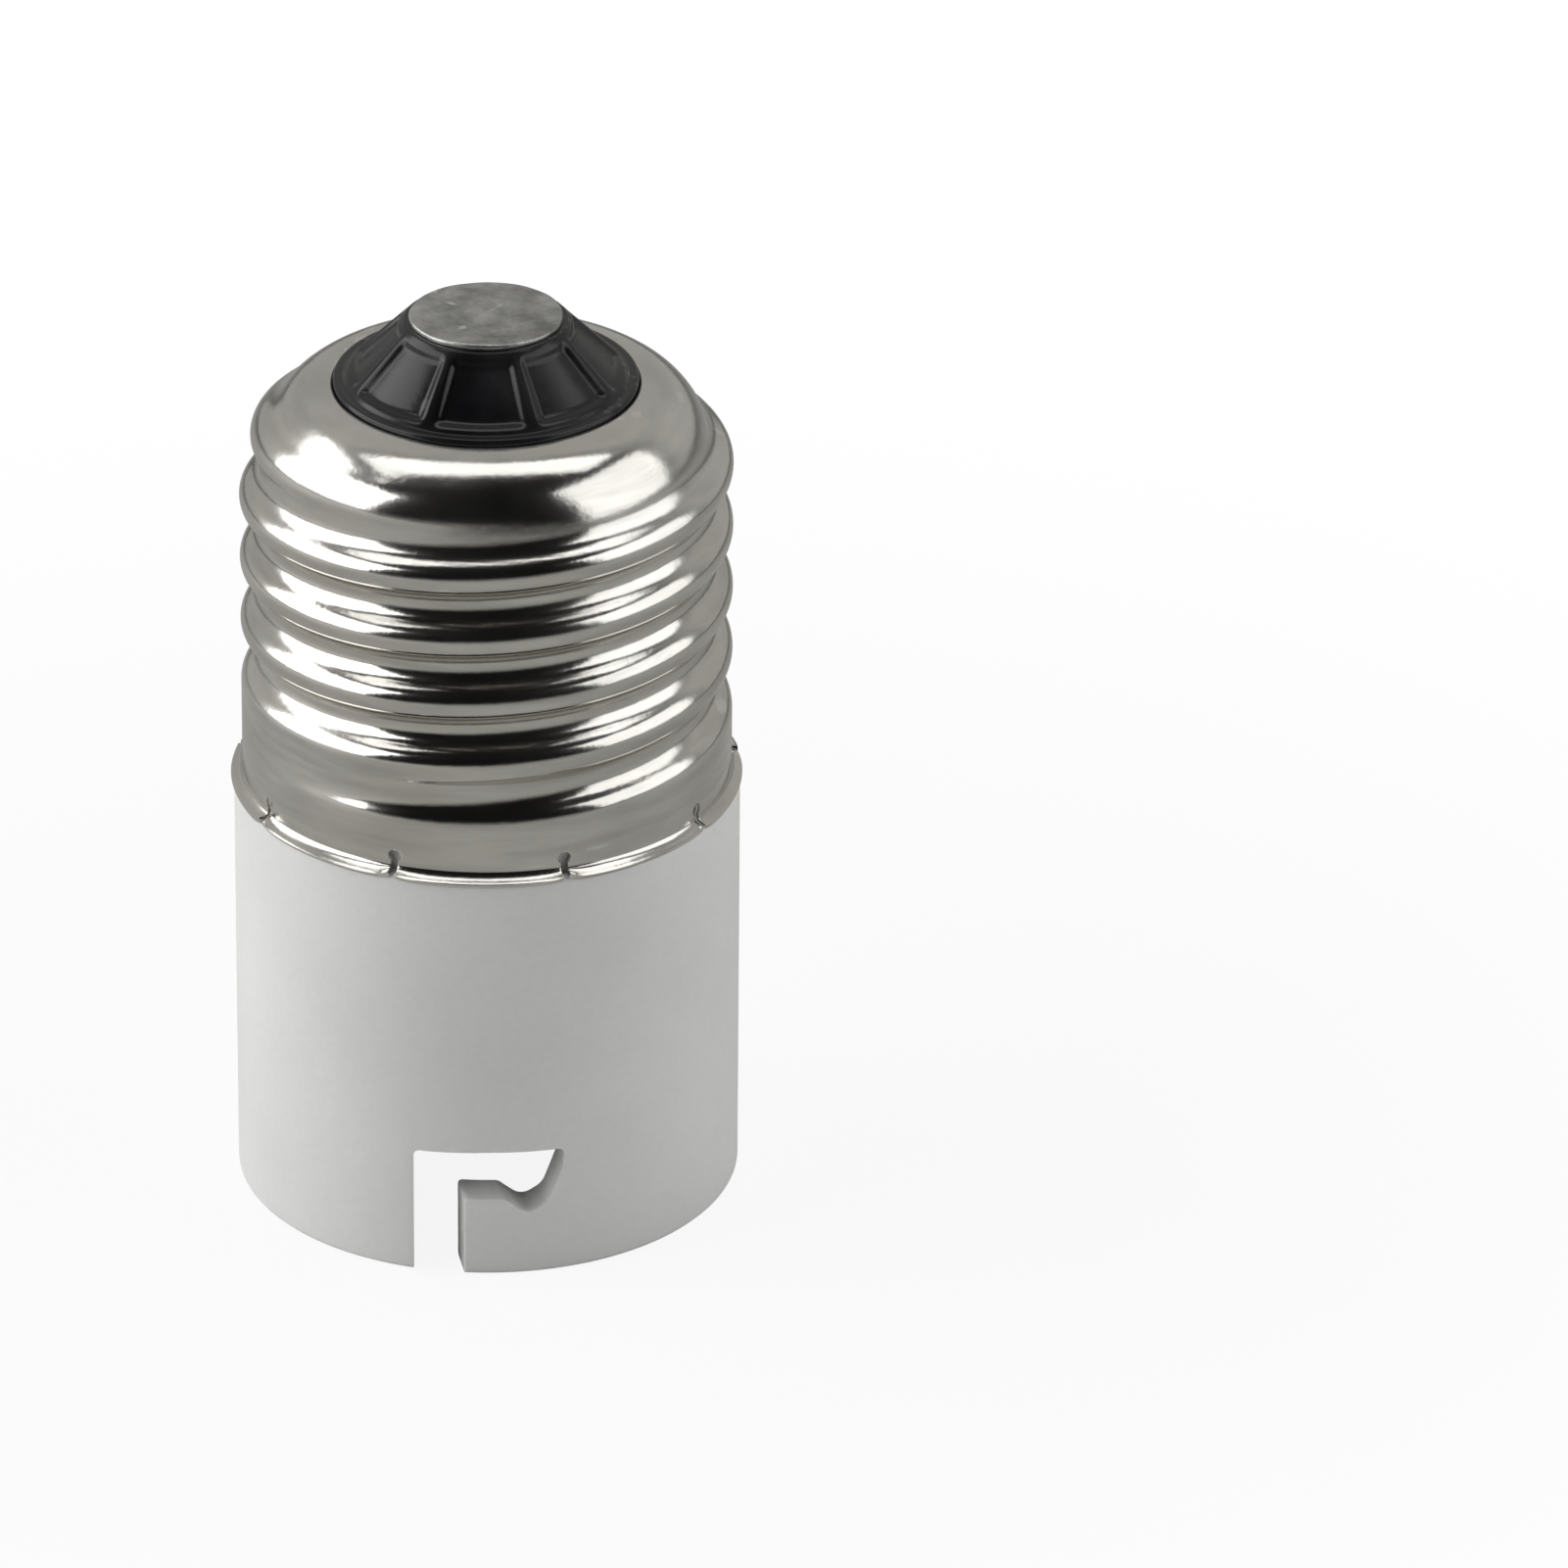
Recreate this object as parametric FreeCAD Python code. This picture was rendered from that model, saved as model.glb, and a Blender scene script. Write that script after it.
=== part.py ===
import FreeCAD, Part

import math
import os

from FreeCAD import Vector

# A lamp socket adapter. A screw cap at the top goes into a screw lampholder, and the
# moulded body below it is a bayonet socket for a two-pin lamp.
# Millimetres. The rim of the socket lies on Z = 0 and the screw cap points up +Z.
# The two plungers lie on the X axis, and the seats of the two J-slots on the Y axis.

# Moulded body: the outside
BODY_R = 13.6
RIM_ROUND = 0.4
SHOULDER_Z = 23.6
SHOULDER_CHAMFER = 0.2
ROUND_FLATS = 3

# Screw shell: a sheet pressed to a right-handed thread of two equal arcs a flank
SHEET = 0.3
SHELL_INSET = 0.45
CREST_R = BODY_R - SHELL_INSET
PITCH = 3.629
THREAD_DEPTH = 1.0875
THREAD_ARC_R = 1.025
THREAD_TURNS = 6
CREST_ANGLE = 170.9
STEPS_AROUND = 24
SEW_TOLERANCE = 0.001
ROOT_R = CREST_R - THREAD_DEPTH

# Screw shell: heights above the body's shoulder
SHOULDER_GAP = 0.02
FOOT_Z = SHOULDER_Z + SHOULDER_GAP
THREAD_START_Z = SHOULDER_Z - 0.1
THREAD_LOW_Z = SHOULDER_Z + 3.6
GROOVE_FADE_Z = SHOULDER_Z + 3.8
GROOVE_FULL_Z = SHOULDER_Z + 5.65
CREST_Z = SHOULDER_Z + 16.54
CREST_FADE_Z = SHOULDER_Z + 19.2
CREST_GONE_Z = SHOULDER_Z + 21.4
THREAD_HIGH_Z = SHOULDER_Z + 21.3

# Screw shell: the flared foot, slit into petals, and the dome
LIP_OVERHANG = 0.2
LIP_R = BODY_R + LIP_OVERHANG
LIP_HEIGHT = 0.8
LIP_BEND_SHARE = 0.2
LIP_EDGE_SHARE = 0.2
LIP_EDGE_BEVEL = 0.4 * SHEET
LIP_INSIDE_SHARE = 0.7
SKIRT_CONE = 1.2
NOTCH_COUNT = 9
NOTCH_FIRST_ANGLE = 198.9
NOTCH_WIDTH = 0.4
NOTCH_HOLE_R = 0.34
NOTCH_HEIGHT = 0.5
DOME_INSET = 4.8
DOME_LOW_Z = SHOULDER_Z + 18.6
DOME_RISE = 4.45
DOME_MOUTH_R = CREST_R - DOME_INSET
DOME_TOP_Z = DOME_LOW_Z + DOME_RISE
DOME_FLATS = 4
STEP_GAP = 0.02

# Fits between pieces
FIT_GAP = 0.02
LOOSE_GAP = 0.1
DISC_GAP = 0.2
COLLAR_GAP = 0.15
NECK_GAP = 0.2125

# How far a cutting shape runs past what it cuts
CUT_SPARE = 1.0

# Moulded body: the collar and the neck inside the shell
COLLAR_R = CREST_R - SHEET - COLLAR_GAP
COLLAR_TOP = SHOULDER_Z + 2.8
NECK_R = ROOT_R - SHEET - NECK_GAP
NECK_WALL = 2.15
WELL_R = NECK_R - NECK_WALL
DECK_Z = SHOULDER_Z + 6.6
WELL_DEPTH = 3.8
NECK_TOP = DECK_Z + WELL_DEPTH

# Moulded body: the socket
SOCKET_WALL = 2.3
BORE_R = BODY_R - SOCKET_WALL
BORE_LENGTH = 10.3
BORE_STEP = 0.2
INNER_BORE_R = BORE_R - BORE_STEP
FLOOR_Z = 18.5
FLOOR_CHAMFER = 0.5
BORE_CHAMFER = 0.15

# J-slots for the lamp's pins, measured across the slot's own view along Y
SLOT_ENTRY_X = -4.7
SLOT_ENTRY_WIDTH = 2.6
SLOT_TOP = 7.4
SLOT_LEG_HEIGHT = 2.8
SEAT_DEPTH = 0.85
SEAT_START_X = -1.3
SEAT_END_X = 2.0
# The curve from the leg down into the seat passes this share of the way, this high up
SEAT_DIP_SHARE = 0.55
SEAT_DIP_RISE = 0.2
# The curve from the seat up to the slot's end passes this share of the way, at the leg's height
SEAT_SWEEP_SHARE = 0.78
SEAT_SWEEP_RISE = 0.02
SLOT_END_BEVEL = 0.1
SLOT_END_DROP = 0.3

# Plungers and the guides that hold them
PLUNGER_X = 6.2
PLUNGER_R = 1.6
GUIDE_CLEARANCE = 0.5
GUIDE_WALL = 2.0
GUIDE_LENGTH = 3.5
GUIDE_BORE_R = PLUNGER_R + GUIDE_CLEARANCE
GUIDE_OUTER_R = GUIDE_BORE_R + GUIDE_WALL
GUIDE_END_Z = FLOOR_Z - GUIDE_LENGTH
GUIDE_FLOOR = 1.8
CHAMBER_FLOOR_Z = FLOOR_Z + GUIDE_FLOOR
CHAMBER_CLEARANCE = 0.25
FLANGE_R = 2.85
FLANGE_THICK = 0.9
CHAMBER_R = FLANGE_R + CHAMBER_CLEARANCE
PLUNGER_REACH = 4.2
PLUNGER_TIP_Z = GUIDE_END_Z - PLUNGER_REACH
PLUNGER_NOSE = 0.9
DIMPLE_R = 0.45
DIMPLE_DEPTH = 0.2
PLUNGER_TRAVEL = 3.0

# Terminals, the disc over them and its screw
TERMINAL_THICK = 0.4
TERMINAL_INNER_X = 2.6
TERMINAL_WIDTH = 7.4
TAG_INSET = 0.6
TAG_OUTER_X = WELL_R - TAG_INSET
TAG_WIDTH = 2.4
TAG_STAND = 0.4
TAG_TOP = NECK_TOP + TAG_STAND
DISC_THICK = 1.6
SCREW_R = 1.28
SCREW_LENGTH = 8.0
SCREW_HEAD_R = 2.6
SCREW_HEAD_HEIGHT = 1.6
SCREW_HEAD_ROUND = 0.5
SCREW_SLOT_WIDTH = 0.6
SCREW_SLOT_DEPTH = 0.7

# Plunger springs, and the plunger's tail inside them, which stops at the terminal
WIRE_R = 0.25
SPRING_R = 2.2
SPRING_TURNS = 5.5
SPRING_SIDES = 4
TAIL_R = 1.1
TAIL_TOP = DECK_Z - TERMINAL_THICK - PLUNGER_TRAVEL - LOOSE_GAP

# Cap insulator, held under the rolled lip of the dome
INSULATOR_DEPTH = 3.05
INSULATOR_BASE_Z = DOME_TOP_Z - INSULATOR_DEPTH
INSULATOR_LEDGE = 1.25
INSULATOR_FLANGE_R = DOME_MOUTH_R + INSULATOR_LEDGE
LIP_FIT = 0.22
INSULATOR_FOOT_R = DOME_MOUTH_R - LIP_FIT
FLANGE_BEVEL = 0.6
FOOT_BEVEL = 0.2
FOOT_STAND = 0.3
INSULATOR_FOOT_TOP = DOME_TOP_Z + FOOT_STAND
FOOT_LEDGE = 0.5
CONE_RISE = 3.3
INSULATOR_TOP_Z = INSULATOR_FOOT_TOP + CONE_RISE
PANEL_COUNT = 8
PANEL_ANGLE = 36.0
PANEL_DEPTH = 0.35
PANEL_MARGIN = 0.35
PANEL_TOP_MARGIN = 0.9
PANEL_DRAFT = 0.1
PANEL_MIDDLE_ANGLE = 258.4

# Centre contact, riveted over under the insulator
CONTACT_R = 4.1
CONTACT_THICK = 0.35
CONTACT_TOP_Z = INSULATOR_TOP_Z + CONTACT_THICK
CONTACT_ROUND = 0.15
CONTACT_LEDGE = 0.25
INSULATOR_TOP_R = CONTACT_R + CONTACT_LEDGE
STEM_R = 1.5
STEM_WALL = 0.6
STEM_BORE_R = STEM_R - STEM_WALL
STEM_BORE_DEPTH = 3.8
RIVET_HEAD = 0.8
RIVET_THICK = 0.4
RIVET_LOW_Z = INSULATOR_BASE_Z - RIVET_THICK
STEM_BORE_TOP = RIVET_LOW_Z + STEM_BORE_DEPTH

# Leads inside the cap, with their sleeves and solder
LEAD_R = 0.4
LEAD_SIDES = 6
SLEEVE_WALL = 0.38
LEAD_STAND = 0.4
LEAD_BEND_UP = 3.4
LEAD_BEND_DOWN = 2.6
LEAD_END_GAP = 0.8
SHELL_LEAD_BEND_UP = 2.2
SHELL_LEAD_TURN_UP = 4.6
SHELL_LEAD_END_UP = 6.6
SHELL_SLEEVE_UP = 2.9
SOLDER_R = 0.95
SOLDER_DEPTH = 1.6

AXIS = Vector(0, 0, 1)
ORIGIN = Vector(0, 0, 0)


def spot(r, z):
    """A point of a turned outline, r out from the axis and z up."""
    return Vector(r, 0, z)


def line(a, b):
    return Part.LineSegment(spot(*a), spot(*b)).toShape()


def arc(a, middle, b):
    return Part.Arc(spot(*a), spot(*middle), spot(*b)).toShape()


def chain(points):
    return [line(a, b) for a, b in zip(points, points[1:])]


def turned(edges, angle=360.0):
    """The solid that a closed outline of edges sweeps round the Z axis."""
    return Part.Face(Part.Wire(edges)).revolve(ORIGIN, AXIS, angle)


def turned_points(points, angle=360.0):
    return turned(chain(points + points[:1]), angle)


def rod(radius, low, high, x=0.0):
    return Part.makeCylinder(radius, high - low, Vector(x, 0, low))


def block(x, y, z):
    """A box between two limits on each axis."""
    size = (x[1] - x[0], y[1] - y[0], z[1] - z[0])
    return Part.makeBox(*size, Vector(x[0], y[0], z[0]))


def quarter(centre, reach_r, reach_z, share):
    """A point on a quarter ellipse, from level with its centre (0) to above it (1)."""
    angle = math.radians(90 * share)
    return (centre[0] + reach_r * math.cos(angle), centre[1] + reach_z * math.sin(angle))


def flat_ring(centre, across, up, radius, sides):
    """A closed outline of straight sides round a centre, for wire that is too thin to need a circle."""
    corners = []
    for i in range(sides + 1):
        angle = 2 * math.pi * i / sides
        corners.append(centre + across * radius * math.cos(angle) + up * radius * math.sin(angle))
    return Part.makePolygon(corners)


def turned_about(shape, angle):
    copy = shape.copy()
    copy.rotate(ORIGIN, AXIS, angle)
    return copy


# Moulded body


def slot_cutter():
    """One J-slot: an entry from the rim, a leg to the side and a round seat for the pin."""
    left = SLOT_ENTRY_X - SLOT_ENTRY_WIDTH / 2
    right = SLOT_ENTRY_X + SLOT_ENTRY_WIDTH / 2
    leg = SLOT_TOP - SLOT_LEG_HEIGHT
    seat = leg - SEAT_DEPTH
    below = -CUT_SPARE
    dip = (SEAT_START_X - SEAT_DIP_SHARE * SEAT_START_X, seat + SEAT_DIP_RISE)
    sweep = (SEAT_SWEEP_SHARE * SEAT_END_X, leg + SEAT_SWEEP_RISE)
    end = (SEAT_END_X, SLOT_TOP - SLOT_END_DROP)
    edges = chain([(right, leg), (right, below), (left, below), (left, SLOT_TOP)])
    edges += chain([(left, SLOT_TOP), (SEAT_END_X - SLOT_END_BEVEL, SLOT_TOP), end])
    edges.append(arc(end, sweep, (0, seat)))
    edges.append(arc((0, seat), dip, (SEAT_START_X, leg)))
    edges += chain([(SEAT_START_X, leg), (right, leg)])
    face = Part.Face(Part.Wire(edges))
    return face.extrude(Vector(0, -2 * BODY_R, 0))


def terminal_plate(side, clear):
    """The flat of one terminal, or the pocket for it where clear is not zero."""
    inner = TERMINAL_INNER_X - clear
    outer = TAG_OUTER_X + clear
    half = TERMINAL_WIDTH / 2 + clear
    span = sorted((side * inner, side * outer))
    return block(span, (-half, half), (DECK_Z - TERMINAL_THICK, DECK_Z))


def socket_body():
    rim_centre = (BODY_R - RIM_ROUND, RIM_ROUND)
    rim = [quarter(rim_centre, RIM_ROUND, -RIM_ROUND, 1 - i / ROUND_FLATS) for i in range(ROUND_FLATS + 1)]
    body = turned_points([(0, 0)] + rim + [
        (BODY_R, SHOULDER_Z - SHOULDER_CHAMFER),
        (BODY_R - SHOULDER_CHAMFER, SHOULDER_Z),
        (COLLAR_R, SHOULDER_Z),
        (COLLAR_R, COLLAR_TOP),
        (NECK_R, COLLAR_TOP + COLLAR_R - NECK_R),
        (NECK_R, NECK_TOP),
        (0, NECK_TOP),
    ])
    socket = turned_points([
        (0, -CUT_SPARE),
        (BORE_R + BORE_CHAMFER, -CUT_SPARE),
        (BORE_R + BORE_CHAMFER, 0),
        (BORE_R, BORE_CHAMFER),
        (BORE_R, BORE_LENGTH),
        (INNER_BORE_R, BORE_LENGTH + BORE_STEP),
        (INNER_BORE_R, FLOOR_Z - FLOOR_CHAMFER),
        (INNER_BORE_R - FLOOR_CHAMFER, FLOOR_Z),
        (0, FLOOR_Z),
    ])
    body = body.cut(socket)

    guides = [rod(GUIDE_OUTER_R, GUIDE_END_Z, CHAMBER_FLOOR_Z, x) for x in (-PLUNGER_X, PLUNGER_X)]
    body = body.fuse(guides)

    cutters = [rod(WELL_R, DECK_Z, NECK_TOP + CUT_SPARE)]
    pilot_floor = DECK_Z + DISC_THICK - SCREW_LENGTH - LOOSE_GAP
    cutters.append(rod(SCREW_R + FIT_GAP, pilot_floor, DECK_Z))
    for side in (-1, 1):
        cutters.append(rod(GUIDE_BORE_R, GUIDE_END_Z - CUT_SPARE, CHAMBER_FLOOR_Z, side * PLUNGER_X))
        cutters.append(rod(CHAMBER_R, CHAMBER_FLOOR_Z, DECK_Z, side * PLUNGER_X))
        cutters.append(terminal_plate(side, LOOSE_GAP))
        cutters.append(turned_about(slot_cutter(), 0 if side < 0 else 180))
    return body.cut(cutters).removeSplitter()


# Plungers, springs, terminals and what holds them


def plunger(side):
    """Turned brass: a round nose with a dimple, a shank, a flange and a tail for the spring."""
    flange_top = CHAMBER_FLOOR_Z + FLANGE_THICK
    centre = (PLUNGER_R - PLUNGER_NOSE, PLUNGER_TIP_Z + PLUNGER_NOSE)
    shares = [1 - i / ROUND_FLATS for i in range(ROUND_FLATS + 1)]
    nose = [quarter(centre, PLUNGER_NOSE, -PLUNGER_NOSE, share) for share in shares]
    shape = turned_points([(0, PLUNGER_TIP_Z + DIMPLE_DEPTH), (DIMPLE_R, PLUNGER_TIP_Z)] + nose + [
        (PLUNGER_R, CHAMBER_FLOOR_Z),
        (FLANGE_R, CHAMBER_FLOOR_Z),
        (FLANGE_R, flange_top),
        (TAIL_R, flange_top),
        (TAIL_R, TAIL_TOP),
        (0, TAIL_TOP),
    ])
    shape.translate(Vector(side * PLUNGER_X, 0, 0))
    return shape


def plunger_spring(side):
    """A coil between the plunger's flange and the terminal."""
    low = CHAMBER_FLOOR_Z + FLANGE_THICK + WIRE_R + FIT_GAP
    high = DECK_Z - TERMINAL_THICK - WIRE_R - FIT_GAP
    height = high - low
    path = Part.Wire(Part.makeHelix(height / SPRING_TURNS, height, SPRING_R))
    start = Vector(SPRING_R, 0, 0)
    section = flat_ring(start, Vector(1, 0, 0), AXIS, WIRE_R, SPRING_SIDES)
    coil = path.makePipeShell([section], True, True)
    coil.translate(Vector(side * PLUNGER_X, 0, low))
    return coil


def terminal(side):
    """A brass strip: a flat over the spring and a tag bent up at its outer end."""
    half = TAG_WIDTH / 2
    span = sorted((side * (TAG_OUTER_X - TERMINAL_THICK), side * TAG_OUTER_X))
    tag = block(span, (-half, half), (DECK_Z - TERMINAL_THICK, TAG_TOP))
    return terminal_plate(side, 0).fuse(tag).removeSplitter()


def retainer_disc():
    top = DECK_Z + DISC_THICK
    disc = rod(WELL_R - DISC_GAP, DECK_Z, top)
    inner = TAG_OUTER_X - TERMINAL_THICK - LOOSE_GAP
    half = TAG_WIDTH / 2 + LOOSE_GAP
    cutters = [rod(SCREW_R + LOOSE_GAP, DECK_Z - CUT_SPARE, top + CUT_SPARE)]
    for side in (-1, 1):
        span = sorted((side * inner, side * (WELL_R + CUT_SPARE)))
        cutters.append(block(span, (-half, half), (DECK_Z - CUT_SPARE, top + CUT_SPARE)))
    return disc.cut(cutters)


def retainer_screw():
    seat = DECK_Z + DISC_THICK
    top = seat + SCREW_HEAD_HEIGHT
    tip = seat - SCREW_LENGTH
    screw = turned_points([
        (0, tip),
        (SCREW_R, tip + SCREW_R),
        (SCREW_R, seat),
        (SCREW_HEAD_R, seat),
        (SCREW_HEAD_R, top - SCREW_HEAD_ROUND),
        (SCREW_HEAD_R - SCREW_HEAD_ROUND, top),
        (0, top),
    ])
    half = SCREW_SLOT_WIDTH / 2
    reach = SCREW_HEAD_R + 1
    slot = block((-reach, reach), (-half, half), (top - SCREW_SLOT_DEPTH, top + CUT_SPARE))
    return screw.cut(slot)


# Screw shell


def eased(value):
    value = min(1.0, max(0.0, value))
    return value * value * (3 - 2 * value)


def groove_share(row):
    """Share of the groove's depth at a share of one pitch: two equal arcs that meet on the flank."""
    away = min(row, 1 - row) * PITCH
    if away <= PITCH / 4:
        return (THREAD_ARC_R - math.sqrt(THREAD_ARC_R**2 - away**2)) / THREAD_DEPTH
    back = PITCH / 2 - away
    return 1 - (THREAD_ARC_R - math.sqrt(THREAD_ARC_R**2 - back**2)) / THREAD_DEPTH


def crest_loss(turns):
    """How far the crest has sunk, a number of turns up. It ends on the dome."""
    z = THREAD_START_Z + turns * PITCH
    return THREAD_DEPTH * eased((z - CREST_FADE_Z) / (CREST_GONE_Z - CREST_FADE_Z))


def groove_depth(turns):
    """Depth of the groove above a crest. It deepens from the skirt."""
    z = THREAD_START_Z + (turns + 0.5) * PITCH
    return THREAD_DEPTH * eased((z - GROOVE_FADE_Z) / (GROOVE_FULL_Z - GROOVE_FADE_Z))


def dome_loss(z):
    """How far the dome curves in from the bottom of the thread, by height."""
    share = min(1.0, max(0.0, (z - DOME_LOW_Z) / DOME_RISE))
    return (ROOT_R - DOME_MOUTH_R) * (1 - math.sqrt(1 - share**2))


def thread_point(angle, row, turns, bulge=1.0):
    """A point of the shell's outside, a share of one pitch (row) above the crest at a place."""
    z = THREAD_START_Z + (turns + row) * PITCH
    groove = groove_share(row)
    loss = crest_loss(turns if row <= 0.5 else turns + 1)
    radius = CREST_R - groove * groove_depth(turns) - (1 - groove) * loss - dome_loss(z)
    out = Vector(math.cos(math.radians(angle)), math.sin(math.radians(angle)), 0)
    return out * bulge * radius + AXIS * z


def thread_strip(band, rows):
    """One flat strip of the thread, once round."""
    step = 360.0 / STEPS_AROUND
    bulge = 3 / (2 + math.cos(math.radians(step)))
    poles = []
    for i in range(-1, STEPS_AROUND + 2):
        place = band + i / STEPS_AROUND
        poles.append([thread_point(seam_angle() + step * i, row, place, bulge) for row in rows])
    knots = [float(i) for i in range(len(poles) + 4)]
    surface = Part.BSplineSurface()
    surface.buildFromPolesMultsKnots(poles, [1] * len(knots), [2, 2], knots, [0.0, 1.0], False, False, 3, 1)
    surface.segment(knots[3], knots[3] + STEPS_AROUND, 0, 1)
    for turn, column in ((0, 1), (1, surface.NbUPoles)):
        surface.setPole(column, 1, thread_point(seam_angle(), rows[0], band + turn))
        surface.setPole(column, 2, thread_point(seam_angle(), rows[1], band + turn))
    return surface.toShape()


def seam_angle():
    return CREST_ANGLE + 360 * (THREAD_START_Z - CREST_Z) / PITCH


def thread_plug():
    """The thread as a full plug, cut flat where the skirt and the dome begin."""
    rows = [0, 1 / 8, 3 / 8, 1 / 2, 5 / 8, 7 / 8, 1]
    bands = range(THREAD_TURNS)
    faces = []
    for band in bands:
        faces += [thread_strip(band, pair) for pair in zip(rows, rows[1:])]
    for band, row, strip in ((bands[0], 0, faces[0]), (bands[-1], 1, faces[-1])):
        seam = [thread_point(seam_angle(), row, band + turn) for turn in (0, 1)]
        edges = [edge for edge in strip.Edges if edge.BoundBox.XLength > CREST_R]
        edges.sort(key=lambda edge: edge.BoundBox.ZMin)
        spine = Part.LineSegment(AXIS * seam[0].z, AXIS * seam[1].z).toShape()
        faces.append(Part.makeRuledSurface(edges[-row], spine))
    end_seams = (
        [thread_point(seam_angle(), row, bands[0]) for row in rows],
        [thread_point(seam_angle(), row, bands[-1] + 1) for row in rows],
    )
    for seam in end_seams:
        corners = [AXIS * seam[0].z] + seam + [AXIS * seam[-1].z]
        faces.append(Part.Face(Part.makePolygon(corners + corners[:1])))
    shell = Part.makeShell(faces)
    shell.sewShape()
    helix = Part.Solid(shell)
    helix.fix(SEW_TOLERANCE, SEW_TOLERANCE, SEW_TOLERANCE)
    return helix.common(rod(2 * CREST_R, THREAD_LOW_Z, THREAD_HIGH_Z))


def dome_line(root_r, rise, low, high):
    """The dome's outline between two heights, as (r, z) points from the bottom up."""
    centre = (DOME_MOUTH_R, DOME_LOW_Z)
    start, end = [math.asin(min(1.0, (z - DOME_LOW_Z) / rise)) * 2 / math.pi for z in (low, high)]
    shares = [start + (end - start) * i / DOME_FLATS for i in range(DOME_FLATS + 1)]
    return [quarter(centre, root_r - DOME_MOUTH_R, rise, share) for share in shares]


def dome():
    """The rounded top of the shell, from where the thread ends to the mouth round the insulator."""
    outside = dome_line(ROOT_R - STEP_GAP, DOME_RISE, THREAD_HIGH_Z, DOME_TOP_Z)
    inside = dome_line(ROOT_R - SHEET, DOME_RISE - SHEET, THREAD_HIGH_Z, DOME_TOP_Z)
    return turned_points(outside + inside[::-1])


def skirt():
    """The plain foot of the shell, flared and slit into petals where it rests on the body."""
    high = THREAD_LOW_Z
    outer_r = CREST_R - STEP_GAP
    inner_r = CREST_R - SHEET
    bend = LIP_BEND_SHARE * (LIP_R - outer_r)
    edge_z = FOOT_Z + LIP_EDGE_SHARE * LIP_HEIGHT
    ring = turned_points([
        (outer_r, high),
        (outer_r, FOOT_Z + LIP_HEIGHT),
        (outer_r + bend, FOOT_Z + LIP_HEIGHT / 2),
        (LIP_R, edge_z),
        (LIP_R - LIP_EDGE_BEVEL, FOOT_Z),
        (inner_r + bend, edge_z),
        (inner_r, FOOT_Z + LIP_INSIDE_SHARE * LIP_HEIGHT),
        (inner_r, high),
    ])
    half = NOTCH_WIDTH / 2
    start_r = inner_r - CUT_SPARE
    reach = LIP_R - start_r + CUT_SPARE
    slit = block((start_r, start_r + reach), (-half, half), (FOOT_Z - CUT_SPARE, FOOT_Z + NOTCH_HEIGHT))
    middle = Vector(start_r, 0, FOOT_Z + NOTCH_HEIGHT)
    hole = Part.makeCylinder(NOTCH_HOLE_R, reach, middle, Vector(1, 0, 0))
    notch = slit.fuse(hole)
    angles = [NOTCH_FIRST_ANGLE + 360 * i / NOTCH_COUNT for i in range(NOTCH_COUNT)]
    return ring.cut([turned_about(notch, angle) for angle in angles])


def screw_shell():
    low = THREAD_LOW_Z
    high = THREAD_HIGH_Z
    curve = dome_line(ROOT_R - SHEET, DOME_RISE - SHEET, DOME_LOW_Z, high)
    inside = turned_points([
        (0, low - CUT_SPARE),
        (CREST_R - SHEET, low - CUT_SPARE),
        (CREST_R - SHEET, low),
        (ROOT_R - SHEET, low + SKIRT_CONE),
    ] + curve + [
        (curve[-1][0], high + CUT_SPARE),
        (0, high + CUT_SPARE),
    ])
    sleeve = thread_plug().cut(inside)
    return sleeve.fuse([dome(), skirt()])


# Cap insulator and centre contact


def cap_insulator():
    """A pressed cone with sunk panels, held under the rolled lip of the shell."""
    foot_low = DOME_TOP_Z - SHEET
    cone = turned_points([
        (STEM_R + FIT_GAP, INSULATOR_BASE_Z),
        (INSULATOR_FLANGE_R - FLANGE_BEVEL, INSULATOR_BASE_Z),
        (INSULATOR_FLANGE_R, INSULATOR_BASE_Z + FLANGE_BEVEL),
        (INSULATOR_FLANGE_R, foot_low - FLANGE_BEVEL),
        (INSULATOR_FOOT_R, foot_low - FIT_GAP),
        (INSULATOR_FOOT_R, INSULATOR_FOOT_TOP - FOOT_BEVEL),
        (INSULATOR_FOOT_R - FOOT_BEVEL, INSULATOR_FOOT_TOP),
        (INSULATOR_FOOT_R - FOOT_LEDGE, INSULATOR_FOOT_TOP),
        (INSULATOR_TOP_R, INSULATOR_TOP_Z),
        (STEM_R + FIT_GAP, INSULATOR_TOP_Z),
    ])
    rise = INSULATOR_TOP_Z - INSULATOR_FOOT_TOP
    run = INSULATOR_FOOT_R - FOOT_LEDGE - INSULATOR_TOP_R
    slope = math.hypot(rise, run)
    out = (rise / slope, run / slope)
    up = (-run / slope, rise / slope)

    def on_slope(along, above):
        r = INSULATOR_FOOT_R - FOOT_LEDGE + along * up[0] + above * out[0]
        return (r, INSULATOR_FOOT_TOP + along * up[1] + above * out[1])

    start, end = PANEL_MARGIN, slope - PANEL_TOP_MARGIN
    panel = turned_points([
        on_slope(start, CUT_SPARE),
        on_slope(start + PANEL_DRAFT, -PANEL_DEPTH),
        on_slope(end - PANEL_DRAFT, -PANEL_DEPTH),
        on_slope(end, CUT_SPARE),
    ], PANEL_ANGLE)
    angles = [PANEL_MIDDLE_ANGLE - PANEL_ANGLE / 2 + 360 * i / PANEL_COUNT for i in range(PANEL_COUNT)]
    return cone.cut([turned_about(panel, angle) for angle in angles])


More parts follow.
